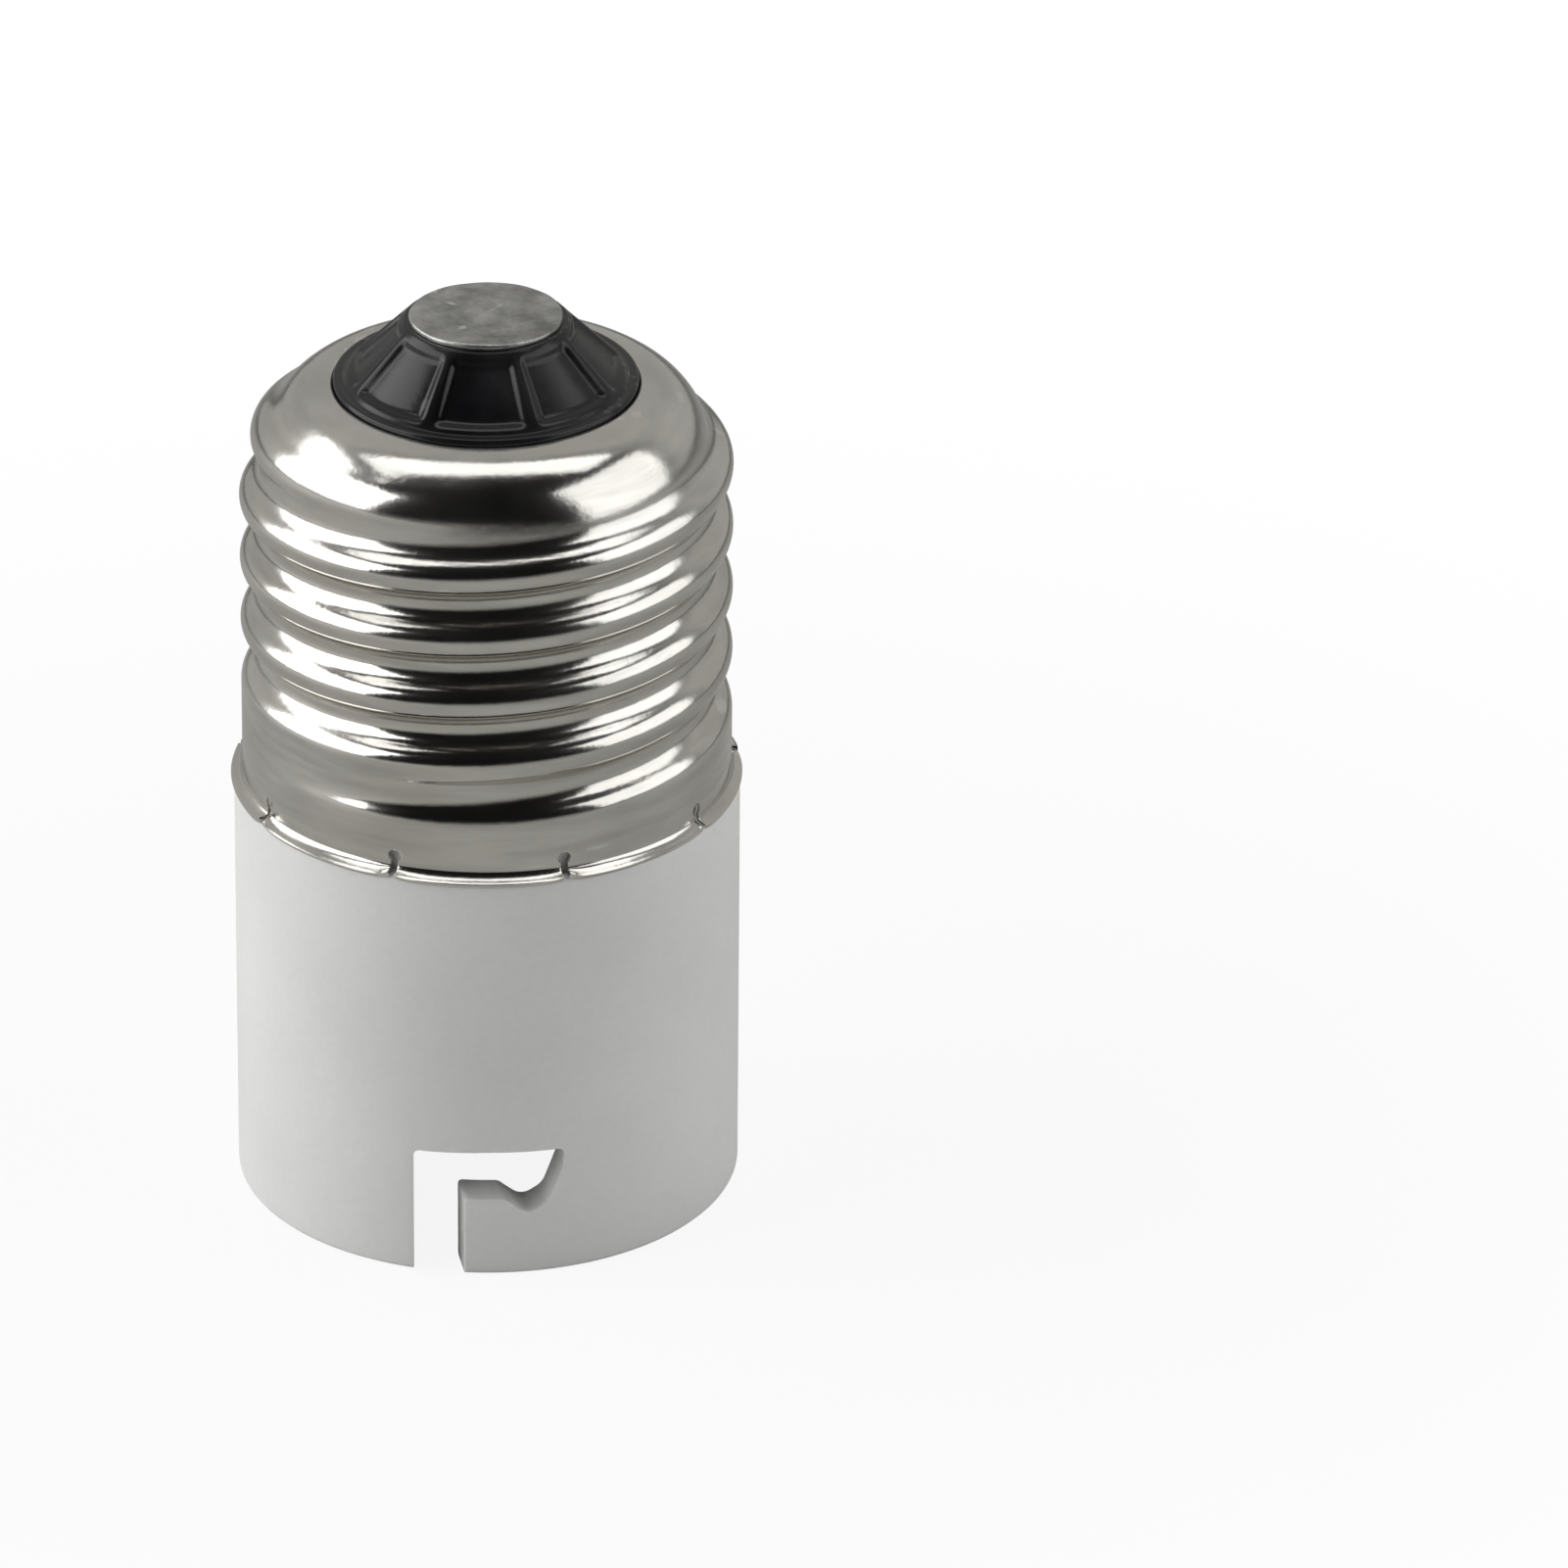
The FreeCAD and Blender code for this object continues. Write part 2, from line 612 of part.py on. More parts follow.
def centre_contact():
    """A disc with a hollow stem, riveted over under the insulator."""
    rivet_r = STEM_R + RIVET_HEAD
    return turned_points([
        (0, STEM_BORE_TOP),
        (STEM_BORE_R, STEM_BORE_TOP),
        (STEM_BORE_R, RIVET_LOW_Z),
        (rivet_r - RIVET_THICK / 2, RIVET_LOW_Z),
        (rivet_r, INSULATOR_BASE_Z),
        (STEM_R, INSULATOR_BASE_Z),
        (STEM_R, INSULATOR_TOP_Z),
        (CONTACT_R, INSULATOR_TOP_Z),
        (CONTACT_R, CONTACT_TOP_Z - CONTACT_ROUND),
        (CONTACT_R - CONTACT_ROUND, CONTACT_TOP_Z),
        (0, CONTACT_TOP_Z),
    ])


# Leads and solder


def lead_start(side):
    x = side * (TAG_OUTER_X - TERMINAL_THICK - LEAD_R - FIT_GAP)
    return spot(x, DECK_Z + DISC_THICK + LEAD_STAND)


def centre_route():
    start = lead_start(-1)
    rise = spot(start.x, NECK_TOP + LEAD_BEND_UP)
    return [start, rise, spot(0, RIVET_LOW_Z - LEAD_BEND_DOWN), spot(0, STEM_BORE_TOP - LEAD_END_GAP)]


def shell_route():
    start = lead_start(1)
    end_x = ROOT_R - SHEET - LEAD_R - FIT_GAP
    rise = spot(start.x, NECK_TOP + SHELL_LEAD_BEND_UP)
    turn = spot(end_x, NECK_TOP + SHELL_LEAD_TURN_UP)
    return [start, rise, turn, spot(end_x, NECK_TOP + SHELL_LEAD_END_UP)]


def rounded_path(points):
    """Straight runs joined by tangent arcs as large as the runs allow."""
    edges = []
    here = points[0]
    for before, corner, after in zip(points, points[1:], points[2:]):
        back = (before - corner).normalize()
        on = (after - corner).normalize()
        half_turn = (math.pi - back.getAngle(on)) / 2
        reach = 0.45 * min(before.distanceToPoint(corner), after.distanceToPoint(corner))
        radius = reach / math.tan(half_turn)
        middle = (back + on).normalize() * (radius / math.cos(half_turn) - radius)
        start = corner + back * reach
        end = corner + on * reach
        edges.append(Part.LineSegment(here, start).toShape())
        edges.append(Part.Arc(start, corner + middle, end).toShape())
        here = end
    edges.append(Part.LineSegment(here, points[-1]).toShape())
    return Part.Wire(edges)


def tube(points, radius):
    """A tube that starts straight up, along runs joined by arcs."""
    section = flat_ring(points[0], Vector(1, 0, 0), Vector(0, 1, 0), radius, LEAD_SIDES)
    return rounded_path(points).makePipeShell([section], True, False)


def lead(points):
    return tube(points, LEAD_R)


def sleeve(points, high):
    """The insulation, from above the tag up to a height, where the lead is bare again."""
    inner = LEAD_R + FIT_GAP
    outer = inner + SLEEVE_WALL
    reach = 2 * BODY_R
    span = block((-reach, reach), (-reach, reach), (TAG_TOP + LOOSE_GAP, high))
    return tube(points, outer).cut(tube(points, inner)).common(span)


def bead(centre):
    top = [quarter((0, 0), SOLDER_R, SOLDER_R, i / ROUND_FLATS) for i in range(ROUND_FLATS, 0, -1)]
    shape = turned_points(top + [(SOLDER_R, 0)] + [(r, -z) for r, z in top[::-1]])
    shape.translate(centre)
    return shape


def tag_solder(side, points):
    """A bead on the inside of one tag, round the end of its lead."""
    centre = points[0] + AXIS * SOLDER_R
    face = side * (TAG_OUTER_X - TERMINAL_THICK)
    reach = 2 * SOLDER_R
    beyond = block(sorted((face, face + side * reach)), (-reach, reach), (centre.z - reach, centre.z + reach))
    return bead(centre).cut([lead(points), beyond])


def shell_solder(points):
    """A bead in the corner between the bare end of a lead and the shell's wall."""
    centre = points[-1] - AXIS * LEAD_STAND
    low = centre.z - SOLDER_R
    wall = ROOT_R - SHEET
    beyond = rod(wall + 2 * SOLDER_R, low, low + 2 * SOLDER_R).cut(rod(wall, low, low + 2 * SOLDER_R))
    return bead(centre).cut([lead(points), beyond])


def centre_solder():
    """Solder that fills the mouth of the contact's hollow stem round the lead."""
    high = RIVET_LOW_Z + SOLDER_DEPTH
    return rod(STEM_BORE_R, RIVET_LOW_Z, high).cut(rod(LEAD_R, RIVET_LOW_Z - 1, high + 1))


def save(name, shape):
    solids = shape.Solids
    assert len(solids) == 1, name + " is not one solid"
    assert solids[0].isValid(), name + " is not valid"
    solids[0].exportStep("parts/" + name + ".step")
    print(name, round(solids[0].Volume, 2))


def main():
    os.makedirs("parts", exist_ok=True)
    save("socket_body", socket_body())
    save("screw_shell", screw_shell())
    save("cap_insulator", cap_insulator())
    save("centre_contact", centre_contact())
    save("retainer_disc", retainer_disc())
    save("retainer_screw", retainer_screw())
    for name, side in (("left", -1), ("right", 1)):
        save("plunger_" + name, plunger(side))
        save("plunger_spring_" + name, plunger_spring(side))
        save("terminal_" + name, terminal(side))
    centre, outer = centre_route(), shell_route()
    save("centre_lead", lead(centre))
    save("centre_lead_sleeve", sleeve(centre, RIVET_LOW_Z - LOOSE_GAP))
    save("shell_lead", lead(outer))
    save("shell_lead_sleeve", sleeve(outer, NECK_TOP + SHELL_SLEEVE_UP))
    save("solder_tag_left", tag_solder(-1, centre))
    save("solder_tag_right", tag_solder(1, outer))
    save("solder_shell", shell_solder(outer))
    save("solder_centre", centre_solder())


main()
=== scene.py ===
import math

import bmesh
import bpy
from mathutils import Matrix, Vector, geometry


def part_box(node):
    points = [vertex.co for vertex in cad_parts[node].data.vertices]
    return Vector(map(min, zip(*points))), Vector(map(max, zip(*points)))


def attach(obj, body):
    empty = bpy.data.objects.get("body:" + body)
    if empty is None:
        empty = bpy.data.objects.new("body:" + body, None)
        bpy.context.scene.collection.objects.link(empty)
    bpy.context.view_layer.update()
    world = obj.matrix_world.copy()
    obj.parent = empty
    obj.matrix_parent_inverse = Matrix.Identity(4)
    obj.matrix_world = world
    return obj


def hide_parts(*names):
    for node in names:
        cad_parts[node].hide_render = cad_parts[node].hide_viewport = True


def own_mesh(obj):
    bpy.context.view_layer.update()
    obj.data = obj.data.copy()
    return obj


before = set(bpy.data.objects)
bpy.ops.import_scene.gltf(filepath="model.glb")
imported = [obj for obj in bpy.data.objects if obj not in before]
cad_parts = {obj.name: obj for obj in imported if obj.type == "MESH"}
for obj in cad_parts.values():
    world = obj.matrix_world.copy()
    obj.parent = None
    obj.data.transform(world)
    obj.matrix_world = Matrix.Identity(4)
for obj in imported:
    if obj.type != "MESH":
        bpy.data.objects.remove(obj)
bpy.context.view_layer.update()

# Millimetres to the frame's metres
MM = 0.001


def low(node, axis):
    """Lowest coordinate of a node along an axis, in millimetres."""
    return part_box(node)[0][axis] / MM


def high(node, axis):
    """Highest coordinate of a node along an axis, in millimetres."""
    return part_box(node)[1][axis] / MM


# Sizes taken from the frame
BODY_R = high("socket_body", 1)
NECK_TOP = high("socket_body", 2)
LIP_R = max(high("screw_shell", 0), high("screw_shell", 1))
FOOT_Z = low("screw_shell", 2)
DOME_TOP = high("screw_shell", 2)
INSULATOR_LOW = low("cap_insulator", 2)
INSULATOR_TOP = high("cap_insulator", 2)
INSULATOR_R = high("cap_insulator", 1)
CONTACT_LOW = low("centre_contact", 2)
CONTACT_TOP = high("centre_contact", 2)
CONTACT_R = high("centre_contact", 1)
PLUNGER_X = (low("plunger_right", 0) + high("plunger_right", 0)) / 2
PLUNGER_TIP = low("plunger_right", 2)
PLUNGER_TOP = high("plunger_right", 2)
PLUNGER_FLANGE_R = high("plunger_right", 1)
SPRING_LOW = low("plunger_spring_right", 2)
SPRING_TOP = high("plunger_spring_right", 2)
DECK_Z = low("retainer_disc", 2)
DISC_R = high("retainer_disc", 1)


# Meshes


def add_object(name, mesh):
    thing = bpy.data.objects.new(name, mesh)
    bpy.context.scene.collection.objects.link(thing)
    return thing


def mesh_object(name, points, faces):
    """A mesh from points in millimetres."""
    mesh = bpy.data.meshes.new(name)
    mesh.from_pydata([tuple(c * MM for c in p) for p in points], [], faces)
    work = bmesh.new()
    work.from_mesh(mesh)
    bmesh.ops.remove_doubles(work, verts=work.verts, dist=1e-7)
    bmesh.ops.dissolve_degenerate(work, edges=work.edges, dist=1e-8)
    bmesh.ops.recalc_face_normals(work, faces=work.faces)
    work.to_mesh(mesh)
    work.free()
    mesh.shade_smooth()
    return add_object(name, mesh)


def apply_modifiers(thing):
    """Turns an object's modifiers into plain mesh."""
    evaluated = thing.evaluated_get(bpy.context.evaluated_depsgraph_get())
    mesh = bpy.data.meshes.new_from_object(evaluated)
    thing.modifiers.clear()
    old = thing.data
    thing.data = mesh
    bpy.data.meshes.remove(old)


def soften(thing, angle):
    """Smooth shading that keeps broad faces flat beside their rounded edges."""
    thing.data.shade_smooth()
    thing.data.set_sharp_from_angle(angle=math.radians(angle))
    weight = thing.modifiers.new("weighted", "WEIGHTED_NORMAL")
    weight.keep_sharp = True
    weight.weight = 70
    return thing


def rounded(corners, steps=4):
    """An outline through corners (r, z, radius), each rounded to its radius."""
    points = []
    count = len(corners)
    for i, (r, z, radius) in enumerate(corners):
        here = Vector((r, z))
        if radius <= 0:
            points.append(here)
            continue
        before = Vector(corners[i - 1][:2])
        after = Vector(corners[(i + 1) % count][:2])
        back = (before - here).normalized()
        on = (after - here).normalized()
        half = back.angle(on) / 2
        reach = radius / math.tan(half)
        centre = here + (back + on).normalized() * (radius / math.sin(half))
        start = here + back * reach - centre
        end = here + on * reach - centre
        for k in range(steps + 1):
            points.append(centre + start.slerp(end, k / steps).normalized() * radius)
    return points


def spaced(points, gap, closed=False):
    """The outline with more points, so that no step is longer than gap."""
    result = []
    ends = points[1:] + (points[:1] if closed else [])
    for a, b in zip(points, ends):
        parts = max(1, math.ceil((b - a).length / gap))
        result += [a.lerp(b, k / parts) for k in range(parts)]
    if not closed:
        result.append(points[-1])
    return result


def turned(name, outline, steps, shift=None, x=0.0, closed=False):
    """A turned piece. Shift may move each point: it gets (angle, r, z) and gives (r, z)."""
    points, faces = [], []
    for i in range(steps):
        angle = 2 * math.pi * i / steps
        for p in outline:
            r, z = shift(angle, p.x, p.y) if shift else (p.x, p.y)
            points.append((x + r * math.cos(angle), r * math.sin(angle), z))
    count = len(outline)
    for i in range(steps):
        here, there = i * count, (i + 1) % steps * count
        for k in range(count if closed else count - 1):
            j = (k + 1) % count
            faces.append((here + k, there + k, there + j, here + j))
    return mesh_object(name, points, faces)


# Screw shell

PITCH = 3.629
CREST_R = 13.15
THREAD_DEPTH = 1.0875
THREAD_ARC_R = 1.025
CREST_ANGLE = 170.9
CREST_Z = 40.14
THREAD_LOW = 26.6
ROWS_A_TURN = 28
SHEET = 0.28
SHEET_EDGE = 0.07

# Heights over which the thread fades in above the skirt and out in the dome
GROOVE_FADE = (27.4, 29.25)
CREST_FADE = (42.8, 45.0)

# Arc distance of the first column from a slit, its growth from column to column, and its limit
COLUMN_FIRST = 0.1
COLUMN_GROWTH = 1.3
COLUMN_WIDEST = 0.45

# The dome, with a small roll at its mouth
DOME_Z = 42.2
DOME_ROWS = 44
MOUTH_R = 8.35
ROLL_START = 0.9
ROLL_IN = 0.2
ROLL_DOWN = 0.12

# The skirt with its keyhole slits, and the lips and curled corners of its petals
SKIRT_TOP = 25.2
NOTCHES = 9
NOTCH_FIRST_ANGLE = 198.9
SLIT_HALF = 0.2
HOLE_R = 0.36
HOLE_UP = 0.98
HOLE_TOP = HOLE_UP + HOLE_R
HOLE_SIDE = math.sqrt(HOLE_R**2 - SLIT_HALF**2)
SEAM_HALF = 0.1
LIP_TALL = 0.45
LIP_CURVE = 1.6
LIP_GAP = 0.02
CORNER_REACH = 0.4
CORNER_LIFT = 0.2
CORNER_SINK = 0.1


def eased(value):
    """A soft step: 0 below 0, 1 above 1."""
    value = min(1.0, max(0.0, value))
    return value * value * (3 - 2 * value)


def between(z, limits):
    """Soft share of the way between two heights."""
    return eased((z - limits[0]) / (limits[1] - limits[0]))


def groove_share(row):
    """Share of the groove's depth, a share of one pitch above the crest."""
    away = min(row, 1 - row) * PITCH
    if away <= PITCH / 4:
        return (THREAD_ARC_R - math.sqrt(THREAD_ARC_R**2 - away**2)) / THREAD_DEPTH
    back = PITCH / 2 - away
    return 1 - (THREAD_ARC_R - math.sqrt(THREAD_ARC_R**2 - back**2)) / THREAD_DEPTH


def thread_radius(degrees, z):
    """Outside radius of the threaded shell in a direction and at a height."""
    turns = (z - CREST_Z) / PITCH - (degrees - CREST_ANGLE) / 360
    row = turns - math.floor(turns)
    crest_z = z - row * PITCH if row <= 0.5 else z + (1 - row) * PITCH
    root_z = z + (0.5 - row) * PITCH
    groove = groove_share(row)
    lost = groove * between(root_z, GROOVE_FADE) + (1 - groove) * between(crest_z, CREST_FADE)
    return CREST_R - THREAD_DEPTH * lost - dome_loss(z)


def dome_loss(z):
    """How far the dome curves in from the bottom of the thread, by height."""
    share = min(1.0, max(0.0, (z - DOME_Z) / (DOME_TOP - DOME_Z)))
    return (CREST_R - THREAD_DEPTH - MOUTH_R) * (1 - math.sqrt(1 - share**2))


def petal_bend(petal, away, up):
    """How far a petal is bent (r, z), by its number, the distance to its slit and the height.

    Each petal has a lip and corners of a slightly different size.
    """
    tall = LIP_TALL * (1 + 0.06 * math.sin(2.4 * petal))
    share = max(0.0, 1 - up / tall)
    flare = (LIP_R - CREST_R - LIP_GAP) * share**LIP_CURVE
    corner = math.exp(-away / CORNER_REACH) * share
    out = flare * (0.94 + 0.05 * math.sin(1.7 * petal + 0.6)) - CORNER_SINK * corner
    return out, CORNER_LIFT * corner * share * (1 + 0.4 * math.sin(3.1 * petal + 1))


def slit_half(up):
    """Half the gap between the columns beside a slit: its keyhole's, and above it a narrow one."""
    if up <= HOLE_UP - HOLE_SIDE:
        return SLIT_HALF
    if up < HOLE_TOP:
        return math.sqrt(HOLE_R**2 - (up - HOLE_UP) ** 2)
    return min(SEAM_HALF, (up - HOLE_TOP) / 2)


def shell_rows():
    """Heights of the mesh's rows from the foot to the bottom of the dome."""
    neck = HOLE_UP - HOLE_SIDE
    # Up the slit, round the lower and upper part of its hole, then up the skirt to the thread
    ups = [neck * k / 7 for k in range(7)]
    ups += [HOLE_UP - math.cos(k * math.pi / 9) * HOLE_SIDE for k in range(5)]
    ups += [HOLE_UP + HOLE_R * math.sin(k * math.pi / 12) for k in range(1, 7)]
    gap = SKIRT_TOP - FOOT_Z - HOLE_TOP
    ups += [HOLE_TOP + gap * k / 3 for k in (1, 2, 3)]
    rows = [FOOT_Z + up for up in ups]
    rows += [SKIRT_TOP + (THREAD_LOW - SKIRT_TOP) * k / 4 for k in range(1, 5)]
    rise = DOME_Z - THREAD_LOW
    count = round(rise / (PITCH / ROWS_A_TURN))
    return rows + [THREAD_LOW + rise * k / count for k in range(1, count + 1)]


def half_petal_offsets():
    """Arc distances from a slit to the middle of its petal, closest together beside the slit."""
    length = math.pi * CREST_R / NOTCHES
    offsets, step = [0.0], COLUMN_FIRST
    while offsets[-1] + step < length:
        offsets.append(offsets[-1] + step)
        step = min(step * COLUMN_GROWTH, COLUMN_WIDEST)
    return [o * length / offsets[-1] for o in offsets]


def shell_columns(offsets):
    """The mesh's columns, as petal number, angle of the slit, side of it and arc distance."""
    columns = []
    for petal in range(NOTCHES):
        slit = NOTCH_FIRST_ANGLE + 360 * petal / NOTCHES
        columns += [(petal, slit, 1, offset) for offset in offsets]
        columns += [(petal, slit + 360 / NOTCHES, -1, offset) for offset in offsets[-2::-1]]
    return columns


def wall_row(columns, length, z):
    """The points of a row below the dome, as (angle, r, z). A column keeps clear of its slit."""
    points = []
    half = slit_half(z - FOOT_Z)
    for petal, slit, side, offset in columns:
        away = offset * (length - half) / length
        angle = slit + side * math.degrees((half + away) / CREST_R)
        out, lift = petal_bend(petal, away, z - FOOT_Z)
        points.append((angle, thread_radius(angle, z) + out, z + lift))
    return points


def dome_row(columns, share):
    """The points of a row of the dome, by its share of the way up and over the rolled mouth."""
    turn = math.radians(90 * min(1.0, share / ROLL_START))
    roll = max(0.0, share - ROLL_START) / (1 - ROLL_START) * math.pi / 2
    z = DOME_Z + (DOME_TOP - DOME_Z) * math.sin(turn)
    points = []
    for petal, slit, side, offset in columns:
        angle = slit + side * math.degrees(offset / CREST_R)
        r = thread_radius(angle, z) - ROLL_IN * math.sin(roll)
        points.append((angle, r, z - ROLL_DOWN * (1 - math.cos(roll))))
    return points


def screw_shell():
    """The pressed and threaded sheet: outside surface first, then thickened inwards."""
    offsets = half_petal_offsets()
    columns = shell_columns(offsets)
    heights = shell_rows()
    rows = [wall_row(columns, offsets[-1], z) for z in heights]
    rows += [dome_row(columns, k / DOME_ROWS) for k in range(1, DOME_ROWS + 1)]
    points, faces = [], []
    for row in rows:
        for angle, r, z in row:
            turn = math.radians(angle)
            points.append((r * math.cos(turn), r * math.sin(turn), z))
    around = len(columns)
    in_petal = around // NOTCHES
    for index in range(len(rows) - 1):
        in_slit = index + 1 < len(heights) and heights[index + 1] - FOOT_Z <= HOLE_TOP + 1e-6
        base, above = index * around, (index + 1) * around
        for k in range(around):
            if in_slit and k % in_petal == in_petal - 1:
                continue
            j = (k + 1) % around
            faces.append((base + k, base + j, above + j, above + k))
    shell = mesh_object("shell_sheet", points, faces)
    flip_outward(shell)
    thick = shell.modifiers.new("thickness", "SOLIDIFY")
    thick.thickness = SHEET * MM
    thick.offset = -1
    thick.use_even_offset = False
    edges = shell.modifiers.new("edges", "BEVEL")
    edges.width = SHEET_EDGE * MM
    edges.segments = 2
    edges.limit_method = "ANGLE"
    edges.angle_limit = math.radians(60)
    apply_modifiers(shell)
    return soften(shell, 60)


def flip_outward(thing):
    """Turns an open sheet round the axis so that its faces look out."""
    work = bmesh.new()
    work.from_mesh(thing.data)
    face = max(work.faces, key=lambda f: f.calc_center_median().xy.length)
    if face.normal.xy.dot(face.calc_center_median().xy) < 0:
        bmesh.ops.reverse_faces(work, faces=work.faces)
    work.to_mesh(thing.data)
    work.free()


# Cap insulator and centre contact

FOOT_R = 8.12
FOOT_TOP = 46.95
CONE_R = 4.35
SLOPE_INSET = 0.5
INSULATOR_SIDES = 360
PANELS = 8
PANEL_MIDDLE_ANGLE = 258.4
PANEL_HALF = math.radians(18.5)
PANEL_SOFT = math.radians(4.5)
PANEL_DEPTH = 0.26

# Where the panels start and end, and how softly, as shares of the slope
PANEL_LOW = 0.12
PANEL_HIGH = 0.87
PANEL_END = 0.1

# The hidden flange under the dome, and the contact's stem
FLANGE_DROP = 0.9
FLANGE_GAP = 0.34
STEM_R = 1.5
STEM_GAP = 0.02
STEM_BORE_R = 0.9
STEM_BORE_TOP = 47.0
RIVET_R = 2.3
CONTACT_SIDES = 120


def panel_share(angle):
    """How far a direction is inside one of the sunk panels, from 0 on a rib to 1."""
    pitch = 2 * math.pi / PANELS
    away = (angle - math.radians(PANEL_MIDDLE_ANGLE) + pitch / 2) % pitch - pitch / 2
    return eased((PANEL_HALF - abs(away)) / PANEL_SOFT + 0.5)


def cap_insulator():
    """A cone on a foot and a hidden flange, with panels sunk into its slope."""
    start, end = Vector((FOOT_R - SLOPE_INSET, FOOT_TOP)), Vector((CONE_R, INSULATOR_TOP))
    slope = end - start
    out = Vector((slope.y, -slope.x)).normalized()

    def sunk(angle, r, z):
        point = Vector((r, z))
        along = (point - start).dot(slope) / slope.length_squared
        above = (point - start).dot(out)
        if above < -0.2 or not -0.01 < along < 1.01:
            return r, z
        lower = eased((along - PANEL_LOW) / PANEL_END + 0.5)
        upper = eased((PANEL_HIGH - along) / PANEL_END + 0.5)
        depth = PANEL_DEPTH * lower * upper * panel_share(angle)
        point -= out * depth
        return point.x, point.y

    stem = STEM_R + STEM_GAP
    outline = spaced(rounded([
        (stem, INSULATOR_LOW, 0),
        (INSULATOR_R, INSULATOR_LOW, 0.4),
        (INSULATOR_R, DOME_TOP - FLANGE_DROP, 0.3),
        (FOOT_R, DOME_TOP - FLANGE_GAP, 0.1),
        (FOOT_R, FOOT_TOP, 0.14),
        (start.x, FOOT_TOP, 0.12),
        (CONE_R, INSULATOR_TOP, 0.12),
        (stem, INSULATOR_TOP, 0),
    ]), 0.16, closed=True)
    cone = turned("insulator_cone", outline, INSULATOR_SIDES, sunk, closed=True)
    return soften(cone, 50)


def centre_contact():
    """A disc with a hollow stem. Its face was struck and tinned, so it isn't quite flat."""

    def struck(angle, r, z):
        """Adds a shallow wave to the face and an uneven edge to its rim."""
        if z < CONTACT_TOP - 0.5 or r < 0.01:
            return r, z
        wave = 0.022 * math.sin(3 * angle + 0.7) * math.sin(2.1 * r)
        wave += 0.016 * math.cos(2 * angle - 1.1) * r / 4
        rim = 0.012 * math.sin(7 * angle) + 0.01 * math.sin(13 * angle + 2)
        share = eased((z - CONTACT_TOP + 0.3) / 0.3)
        grow = eased((r - 3.4) / 0.6)
        return r + (rim - 0.022) * grow, z + (wave - 0.04) * share

    outline = spaced(rounded([
        (0, STEM_BORE_TOP, 0),
        (STEM_BORE_R, STEM_BORE_TOP, 0.2),
        (STEM_BORE_R, CONTACT_LOW, 0.15),
        (RIVET_R - 0.15, CONTACT_LOW, 0.1),
        (RIVET_R, INSULATOR_LOW, 0),
        (STEM_R, INSULATOR_LOW, 0),
        (STEM_R, INSULATOR_TOP, 0),
        (CONTACT_R, INSULATOR_TOP, 0.05),
        (CONTACT_R, CONTACT_TOP, 0.16),
        (0, CONTACT_TOP, 0),
    ]), 0.2)
    disc = turned("contact_disc", outline, CONTACT_SIDES, struck)
    return soften(disc, 50)


# Socket body

RIM_ROUND = 0.4
BORE_R = 11.3
STEP_Z = 10.3
INNER_BORE_R = 11.1
FLOOR_Z = 18.5
FLOOR_ROUND = 0.5
FLOOR_SPARE = 0.02
COLLAR_R = 12.7
SHOULDER_Z = 23.6
COLLAR_TOP = 26.4
NECK_R = 11.55
GUIDE_R = 4.1
GUIDE_FOOT = 0.18
GUIDE_BORE_R = 2.1
GUIDE_END = 15.0
GUIDE_SIDES = 72
CHAMBER_R = 3.1
CHAMBER_Z = 20.3
WELL_SPARE = 0.2
WELL_R = DISC_R + WELL_SPARE
PILOT_R = 1.3
PILOT_FLOOR = 23.7
PILOT_SIDES = 32

ENTRY_LEFT = -6.0
ENTRY_RIGHT = -3.4
SLOT_TOP = 7.4
LEG_LOW = 4.6
SEAT_LOW = 3.64
SEAT_START = -1.3
SEAT_END = 2.0
SLOT_EDGE = 0.12

# The mesh of the slotted wall, unrolled at its middle radius
WALL_MIDDLE_R = (BODY_R + BORE_R) / 2
PATCH_TOP = 8.6
PATCH_ROWS = 15
PATCH_STEP = 0.55
PATCH_LEFT = -9.0
PATCH_RIGHT = 5.0
PATCH_MARGIN = 0.16
COLUMNS = 216


def slot_outline():
    """One J-slot as (x, z) points, from the left of its entry round to the right."""
    corners = [
        (ENTRY_LEFT, RIM_ROUND, 0),
        (ENTRY_LEFT, SLOT_TOP - 0.06, 0.3),
        (-2.0, SLOT_TOP + 0.06, 8),
        (SEAT_END, SLOT_TOP, 0.35),
        (SEAT_END - 0.1, 6.3, 1.2),
        (1.1, 4.25, 1.1),
        (-0.05, SEAT_LOW, 0.8),
        (-0.8, 4.2, 0.7),
        (SEAT_START, LEG_LOW, 0.5),
        (ENTRY_RIGHT, LEG_LOW, 0.25),
        (ENTRY_RIGHT, RIM_ROUND, 0),
    ]
    return spaced(rounded(corners), 0.36)


def wall_point(turn, r, z):
    """A point of the socket's wall, turned by an angle from the -Y direction."""
    return (r * math.sin(turn), -r * math.cos(turn), z)


def inside_outline(point, outline):
    """Whether a flat point lies inside a closed outline."""
    hit = False
    for a, b in zip(outline, outline[1:] + outline[:1]):
        if (a.y > point.y) != (b.y > point.y):
            if point.x < a.x + (point.y - a.y) * (b.x - a.x) / (b.y - a.y):
                hit = not hit
    return hit


def rim_profile():
    """The wall's lower end as (r, z), from the outside under the patch's top to the inside."""
    outer = [Vector((BODY_R, PATCH_TOP - k * PATCH_STEP)) for k in range(PATCH_ROWS)]
    corners = [(BODY_R, 1, 0), (BODY_R, 0, RIM_ROUND), (BORE_R, 0, 0.3), (BORE_R, 1, 0)]
    bend = spaced(rounded(corners, 5)[1:-1], 0.5)
    inner = [Vector((BORE_R, p.y)) for p in reversed(outer)]
    return outer, bend, inner


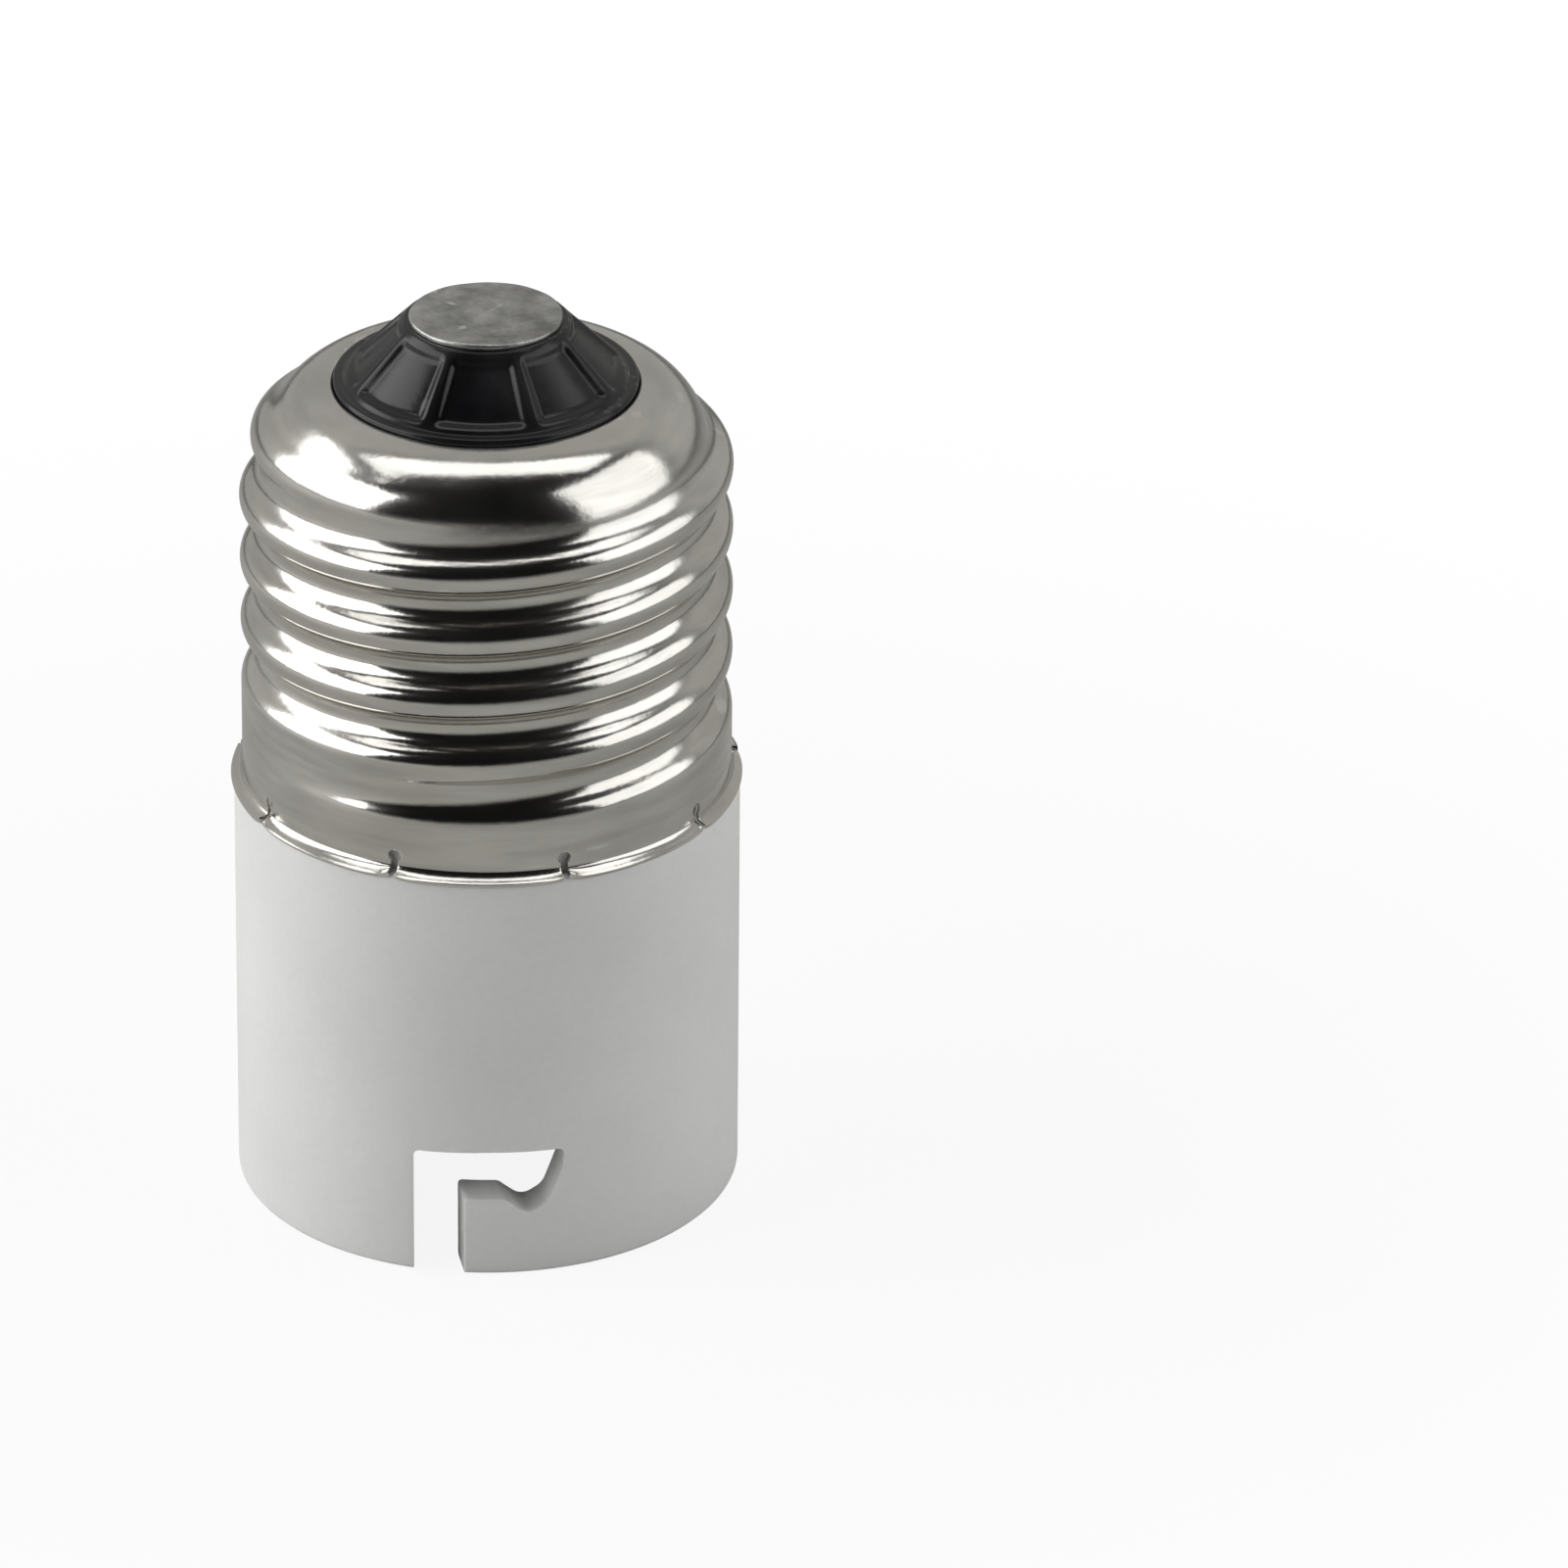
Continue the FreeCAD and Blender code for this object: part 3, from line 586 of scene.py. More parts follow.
def edge_point(x, r, z, run):
    """A point at x on a slot's edge, as its place on the unrolled wall and its (turn, r, z)."""
    turn = math.asin(x / r)
    return Vector((turn * WALL_MIDDLE_R, run)), (turn, r, z)


def slot_edge(outline, profile, along, rim):
    """A slot's edge once round: up its outside, the rim, down its inside and the rim."""
    edge = [edge_point(p.x, BODY_R, p.y, PATCH_TOP - p.y) for p in outline]
    edge += [edge_point(ENTRY_RIGHT, profile[i].x, profile[i].y, along[i]) for i in rim]
    edge += [edge_point(p.x, BORE_R, p.y, along[-1] - (PATCH_TOP - p.y)) for p in reversed(outline)]
    edge += [edge_point(ENTRY_LEFT, profile[i].x, profile[i].y, along[i]) for i in reversed(rim)]
    return [flat for flat, spot in edge], [spot for flat, spot in edge]


def on_slot(point, loop):
    """Whether a point of the unrolled wall lies in the slot or close to its edge."""
    if not PATCH_LEFT <= point.x <= PATCH_RIGHT:
        return False
    return inside_outline(point, loop) or min((point - q).length for q in loop) < PATCH_MARGIN


def flat_triangles(flats, edges, wanted):
    """Points, triangles and sources of a flat mesh, where wanted allows a triangle's middle."""
    made, _, triangles, sources, _, _ = geometry.delaunay_2d_cdt(flats, edges, [], 0, 1e-6)
    kept = []
    for triangle in triangles:
        middle = sum((made[v] for v in triangle), Vector((0, 0))) / 3
        if wanted(middle):
            kept.append(triangle)
    return made, kept, sources


def wall_patch():
    """Half of the lower wall with a J-slot cut through it, as points, faces and sharp edges."""
    outer, bend, inner = rim_profile()
    profile = outer + bend + inner
    along = [0.0]
    for a, b in zip(profile, profile[1:]):
        along.append(along[-1] + (b - a).length)
    rim = range(len(outer) + 1, len(outer) + len(bend) - 1)
    outline = slot_outline()
    loop, places = slot_edge(outline, profile, along, rim)

    flats, spots = list(loop), list(places)
    step = 2 * math.pi / COLUMNS
    quarter = COLUMNS // 4
    for column in range(-quarter, quarter + 1):
        for index, p in enumerate(profile):
            flat = Vector((column * step * WALL_MIDDLE_R, along[index]))
            if not on_slot(flat, loop):
                flats.append(flat)
                spots.append((column * step, p.x, p.y))
    edges = [(k, (k + 1) % len(loop)) for k in range(len(loop))]

    def off_slot(middle):
        return not inside_outline(middle, loop)

    _, triangles, sources = flat_triangles(flats, edges, off_slot)
    points = [wall_point(*spots[source[0]]) for source in sources]
    faces = [tuple(triangle) for triangle in triangles]
    where = {source[0]: k for k, source in enumerate(sources)}
    ids = [where[k] for k in range(len(loop))]
    count = len(outline)
    back = count + len(rim)
    outer_ids, right_ids = ids[:count], ids[count:back]
    inner_ids, left_ids = ids[back:back + count][::-1], ids[back + count:]
    for k in range(count - 1):
        faces.append((outer_ids[k], outer_ids[k + 1], inner_ids[k + 1], inner_ids[k]))
    faces.append((outer_ids[-1], *right_ids, inner_ids[-1]))
    faces.append((inner_ids[0], *left_ids, outer_ids[0]))
    return points, faces, list(zip(ids, ids[1:] + ids[:1]))


def socket_wall():
    """Both halves of the lower wall, each with its own slot."""
    points, faces, sharp = wall_patch()
    count = len(points)
    turned_back = [(-x, -y, z) for x, y, z in points]
    both = faces + [tuple(v + count for v in face) for face in faces]
    edges = sharp + [(a + count, b + count) for a, b in sharp]
    return points + turned_back, both, edges


def ring_faces(points, faces, profile, sides=COLUMNS, x=0.0):
    """Adds a turned strip along a profile, round the body's axis or one beside it."""
    base = len(points)
    count = len(profile)
    for side in range(sides):
        turn = 2 * math.pi * side / sides
        points += [(x + p.x * math.sin(turn), -p.x * math.cos(turn), p.y) for p in profile]
    for side in range(sides):
        here, there = base + side * count, base + (side + 1) % sides * count
        for k in range(count - 1):
            faces.append((here + k, there + k, there + k + 1, here + k + 1))


def flat_with_holes(points, faces, z, outer_r, holes):
    """Adds a level face between a circle of wall columns and round holes (x, radius, sides)."""
    flats, edges = [], []
    for x, radius, sides in [(0.0, outer_r, COLUMNS)] + holes:
        base = len(flats)
        for k in range(sides):
            turn = 2 * math.pi * k / sides
            flats.append(Vector((x + radius * math.sin(turn), -radius * math.cos(turn))))
            edges.append((base + k, base + (k + 1) % sides))

    def wanted(middle):
        clear = all((middle - Vector((x, 0))).length > radius for x, radius, sides in holes)
        return middle.length < outer_r and clear

    made, triangles, _ = flat_triangles(flats, edges, wanted)
    base = len(points)
    points += [(p.x, p.y, z) for p in made]
    faces += [tuple(base + v for v in triangle) for triangle in triangles]


def guide_profile():
    """A plunger's guide, from the floor round its end and up its bore into the spring's chamber."""
    return spaced(rounded([
        (GUIDE_R + GUIDE_FOOT, FLOOR_Z, 0),
        (GUIDE_R, FLOOR_Z, GUIDE_FOOT),
        (GUIDE_R, GUIDE_END, 0.25),
        (GUIDE_BORE_R, GUIDE_END, 0.2),
        (GUIDE_BORE_R, CHAMBER_Z, 0),
        (CHAMBER_R, CHAMBER_Z, 0),
        (CHAMBER_R, DECK_Z, 0),
    ]), 0.7)


def socket_body():
    """The moulded body: the slotted wall, then the rest of its outside and inside."""
    points, faces, sharp = socket_wall()
    outside = spaced(rounded([
        (BODY_R, PATCH_TOP, 0),
        (BODY_R, SHOULDER_Z, 0.25),
        (COLLAR_R, SHOULDER_Z, 0.1),
        (COLLAR_R, COLLAR_TOP, 0.2),
        (NECK_R, COLLAR_TOP + COLLAR_R - NECK_R, 0.2),
        (NECK_R, NECK_TOP, 0.3),
        (WELL_R, NECK_TOP, 0.2),
        (WELL_R, DECK_Z, 0),
    ]), 1.2)
    ring_faces(points, faces, outside)
    floor_r = INNER_BORE_R - FLOOR_ROUND - FLOOR_SPARE
    inside = spaced(rounded([
        (BORE_R, PATCH_TOP, 0),
        (BORE_R, STEP_Z, 0.1),
        (INNER_BORE_R, STEP_Z + 0.2, 0.1),
        (INNER_BORE_R, FLOOR_Z, FLOOR_ROUND),
        (floor_r, FLOOR_Z, 0),
    ]), 1.2)
    ring_faces(points, faces, inside)
    for x in (-PLUNGER_X, PLUNGER_X):
        ring_faces(points, faces, guide_profile(), GUIDE_SIDES, x)
    feet = [(x, GUIDE_R + GUIDE_FOOT, GUIDE_SIDES) for x in (-PLUNGER_X, PLUNGER_X)]
    flat_with_holes(points, faces, FLOOR_Z, floor_r, feet)
    holes = [(x, CHAMBER_R, GUIDE_SIDES) for x in (-PLUNGER_X, PLUNGER_X)]
    flat_with_holes(points, faces, DECK_Z, WELL_R, holes + [(0.0, PILOT_R, PILOT_SIDES)])
    pilot = [Vector((PILOT_R, DECK_Z)), Vector((PILOT_R, PILOT_FLOOR)), Vector((0, PILOT_FLOOR))]
    ring_faces(points, faces, pilot, PILOT_SIDES)

    body = mesh_object("moulded_body", points, faces)
    mark_edges(body, points, sharp)
    edges = body.modifiers.new("slot_edges", "BEVEL")
    edges.width = SLOT_EDGE * MM
    edges.segments = 3
    edges.limit_method = "WEIGHT"
    edges.use_clamp_overlap = True
    apply_modifiers(body)
    return soften(body, 38)


def mark_edges(thing, points, pairs):
    """Gives full bevel weight to the edges between these pairs of points."""
    wanted = set()

    def key(p):
        return tuple(round(c * 1e6) for c in p)

    places = {key(v.co): v.index for v in thing.data.vertices}
    for a, b in pairs:
        ends = [places.get(key([c * MM for c in points[v]])) for v in (a, b)]
        wanted.add(tuple(sorted(e for e in ends if e is not None)))
    layer = thing.data.attributes.new("bevel_weight_edge", "FLOAT", "EDGE")
    for edge in thing.data.edges:
        if tuple(sorted(edge.vertices)) in wanted:
            layer.data[edge.index].value = 1.0


# Plungers and springs

SHANK_R = 1.6
NOSE_ROUND = 0.9
DIMPLE_R = 0.62
DIMPLE_DEEP = 0.2
TAIL_R = 1.1
FLANGE_THICK = 0.9
PLUNGER_SIDES = 72

WIRE_R = 0.24
WIRE_SIDES = 12
WIRE_GAP = 0.01
COIL_R = 2.2
COIL_TURNS = 6.0
COIL_STEPS = 40
CLOSED_RISE = 0.12


def plunger(name, x):
    """A flanged pin with a rounded nose that has a small dimple."""
    flange_top = CHAMBER_Z + FLANGE_THICK
    outline = spaced(rounded([
        (0, PLUNGER_TIP + DIMPLE_DEEP, 0),
        (0.38, PLUNGER_TIP + 0.05, 0.25),
        (DIMPLE_R, PLUNGER_TIP, 0.2),
        (SHANK_R, PLUNGER_TIP, NOSE_ROUND),
        (SHANK_R, CHAMBER_Z, 0.05),
        (PLUNGER_FLANGE_R, CHAMBER_Z, 0.08),
        (PLUNGER_FLANGE_R, flange_top, 0.08),
        (TAIL_R, flange_top, 0.05),
        (TAIL_R, PLUNGER_TOP, 0.2),
        (0, PLUNGER_TOP, 0),
    ], 5), 0.3)
    return soften(turned(name, outline, PLUNGER_SIDES, x=x), 50)


def plunger_spring(name, x):
    """Round wire in a coil with closed ends."""
    base = SPRING_LOW + WIRE_R + WIRE_GAP
    top = SPRING_TOP - WIRE_R - WIRE_GAP
    count = round(COIL_TURNS * COIL_STEPS)
    points, faces = [], []
    for i in range(count + 1):
        turns = COIL_TURNS * i / count
        turn = 2 * math.pi * turns
        z = base + (top - base) * coil_rise(turns)
        out = Vector((math.cos(turn), math.sin(turn), 0))
        for k in range(WIRE_SIDES):
            a = 2 * math.pi * k / WIRE_SIDES
            p = out * (COIL_R + WIRE_R * math.cos(a)) + Vector((x, 0, z + WIRE_R * math.sin(a)))
            points.append(tuple(p))
    for i in range(count):
        here, there = i * WIRE_SIDES, (i + 1) * WIRE_SIDES
        for k in range(WIRE_SIDES):
            j = (k + 1) % WIRE_SIDES
            faces.append((here + k, here + j, there + j, there + k))
    faces.append(tuple(range(WIRE_SIDES)))
    faces.append(tuple(count * WIRE_SIDES + k for k in range(WIRE_SIDES)))
    return soften(mesh_object(name, points, faces), 50)


def coil_rise(turns):
    """Share of a coil's rise after some turns, with the first and last turn nearly flat."""
    if turns < 1:
        return CLOSED_RISE / 2 * turns**2
    if turns > COIL_TURNS - 1:
        return 1 - CLOSED_RISE / 2 * (COIL_TURNS - turns) ** 2
    return CLOSED_RISE / 2 + (1 - CLOSED_RISE) * (turns - 1) / (COIL_TURNS - 2)


# Materials


def new_material(name):
    material = bpy.data.materials.new(name)
    material.use_nodes = True
    tree = material.node_tree
    shader = tree.nodes["Principled BSDF"]
    return material, tree, shader


def noise(tree, scale, detail, stretch=(1, 1, 1), roughness=0.5):
    """A procedural noise in the object's own coordinates, scaled per metre."""
    where = tree.nodes.new("ShaderNodeTexCoord")
    mapping = tree.nodes.new("ShaderNodeMapping")
    mapping.inputs["Scale"].default_value = stretch
    node = tree.nodes.new("ShaderNodeTexNoise")
    node.inputs["Scale"].default_value = scale
    node.inputs["Detail"].default_value = detail
    node.inputs["Roughness"].default_value = roughness
    tree.links.new(where.outputs["Object"], mapping.inputs["Vector"])
    tree.links.new(mapping.outputs["Vector"], node.inputs["Vector"])
    return node.outputs["Fac"]


def ramp(tree, source, stops):
    """A colour or value ramp, from (place, (r, g, b)) or (place, value) stops."""
    node = tree.nodes.new("ShaderNodeValToRGB")
    elements = node.color_ramp.elements
    while len(elements) < len(stops):
        elements.new(0.5)
    for element, (place, value) in zip(elements, stops):
        element.position = place
        colour = value if isinstance(value, tuple) else (value, value, value)
        element.color = (*colour, 1)
    tree.links.new(source, node.inputs["Fac"])
    return node.outputs["Color"]


def mixed(tree, share, a, b, blend="MIX"):
    """Mixes two colours. They and the share may be sockets or plain values."""
    node = tree.nodes.new("ShaderNodeMix")
    node.data_type = "RGBA"
    node.blend_type = blend
    # Inputs 6 and 7 and output 2 are the colours
    for socket, value in ((node.inputs[0], share), (node.inputs[6], a), (node.inputs[7], b)):
        if isinstance(value, bpy.types.NodeSocket):
            tree.links.new(value, socket)
        elif isinstance(value, tuple):
            socket.default_value = (*value, 1)
        else:
            socket.default_value = value
    return node.outputs[2]


def bumped(tree, shader, layers):
    """Chains bump layers (socket, strength, distance in mm) into the shader's normal."""
    last = None
    for source, strength, distance in layers:
        node = tree.nodes.new("ShaderNodeBump")
        node.inputs["Strength"].default_value = strength
        node.inputs["Distance"].default_value = distance * MM
        tree.links.new(source, node.inputs["Height"])
        if last:
            tree.links.new(last, node.inputs["Normal"])
        last = node.outputs["Normal"]
    tree.links.new(last, shader.inputs["Normal"])


def worn(tree, low_share, high_share):
    """A mask of outward edges, for wear, from the shape's own pointiness."""
    shape = tree.nodes.new("ShaderNodeNewGeometry")
    return ramp(tree, shape.outputs["Pointiness"], [(low_share, 0.0), (high_share, 1.0)])


def plastic_material():
    material, tree, shader = new_material("pale_moulded_plastic")
    cloud = noise(tree, 90, 4)
    grain = noise(tree, 2600, 3)
    ripple = noise(tree, 240, 2, (1, 1, 0.25))
    colour = ramp(tree, cloud, [(0.3, (0.81, 0.812, 0.802)), (0.7, (0.87, 0.87, 0.86))])
    speck = ramp(tree, grain, [(0.35, 0.94), (0.6, 1.0)])
    colour = mixed(tree, 0.35, colour, speck, "MULTIPLY")
    colour = mixed(tree, worn(tree, 0.52, 0.6), colour, (0.88, 0.88, 0.87))
    tree.links.new(colour, shader.inputs["Base Color"])
    rough = ramp(tree, cloud, [(0.3, 0.5), (0.7, 0.6)])
    tree.links.new(rough, shader.inputs["Roughness"])
    bumped(tree, shader, [(ripple, 0.12, 0.05), (grain, 0.2, 0.012)])
    shader.inputs["IOR"].default_value = 1.46
    shader.inputs["Specular IOR Level"].default_value = 0.35
    return material


def nickel_material():
    material, tree, shader = new_material("bright_nickel_plate")
    cloud = noise(tree, 130, 5)
    grain = noise(tree, 5200, 2)
    drawn = noise(tree, 700, 3, (0.25, 0.25, 2.0))
    dent = noise(tree, 330, 2)
    mottle = noise(tree, 1500, 3)
    colour = ramp(tree, cloud, [(0.3, (0.71, 0.69, 0.645)), (0.7, (0.81, 0.79, 0.75))])
    grime = ramp(tree, drawn, [(0.3, 0.7), (0.62, 1.0)])
    colour = mixed(tree, 0.6, colour, grime, "MULTIPLY")
    colour = mixed(tree, worn(tree, 0.51, 0.58), colour, (0.82, 0.80, 0.76))
    tree.links.new(colour, shader.inputs["Base Color"])
    rough = ramp(tree, cloud, [(0.3, 0.12), (0.7, 0.21)])
    tree.links.new(rough, shader.inputs["Roughness"])
    shader.inputs["Metallic"].default_value = 1.0
    bumped(tree, shader, [
        (dent, 0.15, 0.05),
        (drawn, 0.16, 0.02),
        (mottle, 0.5, 0.02),
        (grain, 0.18, 0.008),
    ])
    return material


def black_material():
    material, tree, shader = new_material("gloss_black_insulator")
    cloud = noise(tree, 260, 4)
    flow = noise(tree, 420, 2, (1, 1, 0.4))
    dust = noise(tree, 3800, 2)
    colour = ramp(tree, cloud, [(0.35, (0.006, 0.006, 0.007)), (0.7, (0.017, 0.017, 0.019))])
    colour = mixed(tree, worn(tree, 0.53, 0.6), colour, (0.05, 0.05, 0.05))
    tree.links.new(colour, shader.inputs["Base Color"])
    rough = ramp(tree, cloud, [(0.3, 0.15), (0.7, 0.28)])
    tree.links.new(rough, shader.inputs["Roughness"])
    shader.inputs["Specular IOR Level"].default_value = 0.4
    bumped(tree, shader, [(flow, 0.4, 0.06), (dust, 0.2, 0.012)])
    return material


def metal_material(name, dark, bright, roughness, scale, bump=0.25, depth=0.03):
    """A metal with a mottled colour between two tones."""
    material, tree, shader = new_material(name)
    cloud = noise(tree, scale, 6, roughness=0.65)
    grain = noise(tree, scale * 9, 2)
    colour = ramp(tree, cloud, [(0.32, dark), (0.66, bright)])
    edge = tuple(min(1.0, c * 1.15) for c in bright)
    colour = mixed(tree, worn(tree, 0.53, 0.62), colour, edge)
    tree.links.new(colour, shader.inputs["Base Color"])
    rough = ramp(tree, grain, [(0.3, roughness - 0.08), (0.7, roughness + 0.08)])
    tree.links.new(rough, shader.inputs["Roughness"])
    shader.inputs["Metallic"].default_value = 1.0
    bumped(tree, shader, [(cloud, bump, depth), (grain, bump / 2, depth / 4)])
    return material


def fibre_material(name, dark, bright, roughness, scale=900):
    """A dull board or woven sleeve."""
    material, tree, shader = new_material(name)
    weave = noise(tree, scale, 5, (1, 1, 0.5))
    colour = ramp(tree, weave, [(0.3, dark), (0.7, bright)])
    tree.links.new(colour, shader.inputs["Base Color"])
    rough = ramp(tree, weave, [(0.3, roughness - 0.1), (0.7, roughness + 0.1)])
    tree.links.new(rough, shader.inputs["Roughness"])
    bumped(tree, shader, [(weave, 0.3, 0.03)])
    return material


def dress(thing, material):
    thing.data.materials.clear()
    thing.data.materials.append(material)


# Camera, lights and floor

# The camera, in millimetres, degrees and pixels of the photograph
CAMERA_AZIMUTH = -9.1
CAMERA_ELEVATION = 26.7
CAMERA_DISTANCE = 700.0
AIM_Z = 25.0
FRAME_PIXELS = 1601
FOCAL_PIXELS = 13300.0
SENSOR = 36.0
AIM_PIXEL = (497.4, 761.0)
CAMERA_ROLL = -0.17


def direction(azimuth, elevation):
    """From the object towards a place round it. Azimuth 0 is -Y and 90 is +X."""
    a, e = math.radians(azimuth), math.radians(elevation)
    return Vector((math.sin(a) * math.cos(e), -math.cos(a) * math.cos(e), math.sin(e)))


def make_camera():
    data = bpy.data.cameras.new("camera")
    data.sensor_width = SENSOR
    data.lens = FOCAL_PIXELS / FRAME_PIXELS * SENSOR
    data.clip_start, data.clip_end = 0.01, 20
    camera = add_object("camera", data)
    back = direction(CAMERA_AZIMUTH, CAMERA_ELEVATION)
    camera.location = (back * CAMERA_DISTANCE + Vector((0, 0, AIM_Z))) * MM
    middle = FRAME_PIXELS / 2
    yaw = math.atan((middle - AIM_PIXEL[0]) / FOCAL_PIXELS)
    pitch = math.atan((middle - AIM_PIXEL[1]) / FOCAL_PIXELS)
    aim = (-back).to_track_quat("-Z", "Y").to_matrix()
    roll = Matrix.Rotation(math.radians(CAMERA_ROLL), 3, "Z")
    turn = Matrix.Rotation(-yaw, 3, "Y") @ Matrix.Rotation(-pitch, 3, "X")
    camera.rotation_mode = "QUATERNION"
    camera.rotation_quaternion = (aim @ roll @ turn).to_quaternion()
    bpy.context.scene.camera = camera


# Lamps: name, azimuth from the camera's, elevation, width and height in metres, brightness
LAMPS = (
    ("left_box", -87, 24, 0.52, 0.36, 2.5),
    ("right_box", 76, 24, 0.42, 0.36, 1.4),
    ("top_strip", 180, 87, 0.60, 0.17, 1.6),
)
# How far away they are and what they face, in metres
LAMP_DISTANCE = 0.42
LAMP_AIM = Vector((0, 0, 0.03))


def soft_box(name, azimuth, elevation, width, height, radiance):
    """A rectangular light that faces the object. Its power follows from its brightness."""
    data = bpy.data.lights.new(name, "AREA")
    data.shape = "RECTANGLE"
    data.size, data.size_y = width, height
    data.energy = radiance * math.pi * width * height
    light = add_object(name, data)
    out = direction(azimuth, elevation)
    light.location = out * LAMP_DISTANCE + LAMP_AIM
    light.rotation_mode = "QUATERNION"
    light.rotation_quaternion = out.to_track_quat("Z", "Y")
    light.visible_camera = False


def make_lights():
    for name, turn, *rest in LAMPS:
        soft_box(name, CAMERA_AZIMUTH + turn, *rest)


STUDIO_FRONT = (0.006, 0.006, 0.006)
STUDIO_BACK = (0.40, 0.395, 0.38)
STUDIO_HORIZON = (0.14, 0.14, 0.135)


def make_world():
    """White to the camera and through glass, otherwise a studio, dark in front and grey behind."""
    world = bpy.data.worlds.new("studio")
    world.use_nodes = True
    bpy.context.scene.world = world
    tree = world.node_tree
    background = tree.nodes["Background"]
    where = tree.nodes.new("ShaderNodeTexCoord")
    behind = tree.nodes.new("ShaderNodeVectorMath")
    behind.operation = "DOT_PRODUCT"
    behind.inputs[1].default_value = -direction(CAMERA_AZIMUTH, 0)
    tree.links.new(where.outputs["Generated"], behind.inputs[0])
    height = tree.nodes.new("ShaderNodeSeparateXYZ")
    tree.links.new(where.outputs["Generated"], height.inputs[0])
    sides = [(0.0, STUDIO_FRONT), (0.12, STUDIO_FRONT), (0.45, STUDIO_BACK)]
    room = ramp(tree, behind.outputs["Value"], sides)
    low = ramp(tree, height.outputs["Z"], [(0.0, STUDIO_HORIZON), (0.08, (0.0, 0.0, 0.0))])
    studio = mixed(tree, 1.0, room, low, "LIGHTEN")
    path = tree.nodes.new("ShaderNodeLightPath")
    seen = tree.nodes.new("ShaderNodeMath")
    seen.operation = "MAXIMUM"
    tree.links.new(path.outputs["Is Camera Ray"], seen.inputs[0])
    tree.links.new(path.outputs["Is Transmission Ray"], seen.inputs[1])
    colour = mixed(tree, seen.outputs[0], studio, (1, 1, 1))
    tree.links.new(colour, background.inputs["Color"])


# The floor, and where it turns from its glow to white, in metres
FLOOR_SIZE = 3.0
FLOOR_DROP = 0.00002
FLOOR_NEAR = 0.03
FLOOR_FAR = 0.11
FLOOR_GLOW = 0.9
FLOOR_PAINT = (0.86, 0.86, 0.86)
FLOOR_IN_METAL = (0.5, 0.495, 0.48)


def floor_material():
    """Pale and lit by the lamps, darker in metal, and to the camera brighter the further it lies."""
    material, tree, shader = new_material("studio_floor")
    path = tree.nodes.new("ShaderNodeLightPath")
    paint = mixed(tree, path.outputs["Is Glossy Ray"], FLOOR_PAINT, FLOOR_IN_METAL)
    tree.links.new(paint, shader.inputs["Base Color"])
    shader.inputs["Roughness"].default_value = 0.9
    shader.inputs["Specular IOR Level"].default_value = 0.1
    glow = tree.nodes.new("ShaderNodeEmission")
    where = tree.nodes.new("ShaderNodeTexCoord")
    length = tree.nodes.new("ShaderNodeVectorMath")
    length.operation = "LENGTH"
    tree.links.new(where.outputs["Object"], length.inputs[0])
    reach = tree.nodes.new("ShaderNodeMapRange")
    reach.interpolation_type = "SMOOTHSTEP"
    reach.inputs["From Min"].default_value = FLOOR_NEAR
    reach.inputs["From Max"].default_value = FLOOR_FAR
    reach.inputs["To Min"].default_value = FLOOR_GLOW
    reach.inputs["To Max"].default_value = 1.0
    tree.links.new(length.outputs["Value"], reach.inputs["Value"])
    share = tree.nodes.new("ShaderNodeMath")
    share.operation = "MULTIPLY"
    tree.links.new(reach.outputs["Result"], share.inputs[0])
    tree.links.new(path.outputs["Is Camera Ray"], share.inputs[1])
    blend = tree.nodes.new("ShaderNodeMixShader")
    tree.links.new(share.outputs[0], blend.inputs[0])
    tree.links.new(shader.outputs[0], blend.inputs[1])
    tree.links.new(glow.outputs[0], blend.inputs[2])
    output = tree.nodes["Material Output"]
    tree.links.new(blend.outputs[0], output.inputs["Surface"])
    return material


def make_floor():
    work = bmesh.new()
    bmesh.ops.create_grid(work, x_segments=8, y_segments=8, size=FLOOR_SIZE / 2)
    mesh = bpy.data.meshes.new("floor")
    work.to_mesh(mesh)
    work.free()
    floor = add_object("floor", mesh)
    floor.location.z = -FLOOR_DROP
    dress(floor, floor_material())


# Putting it together


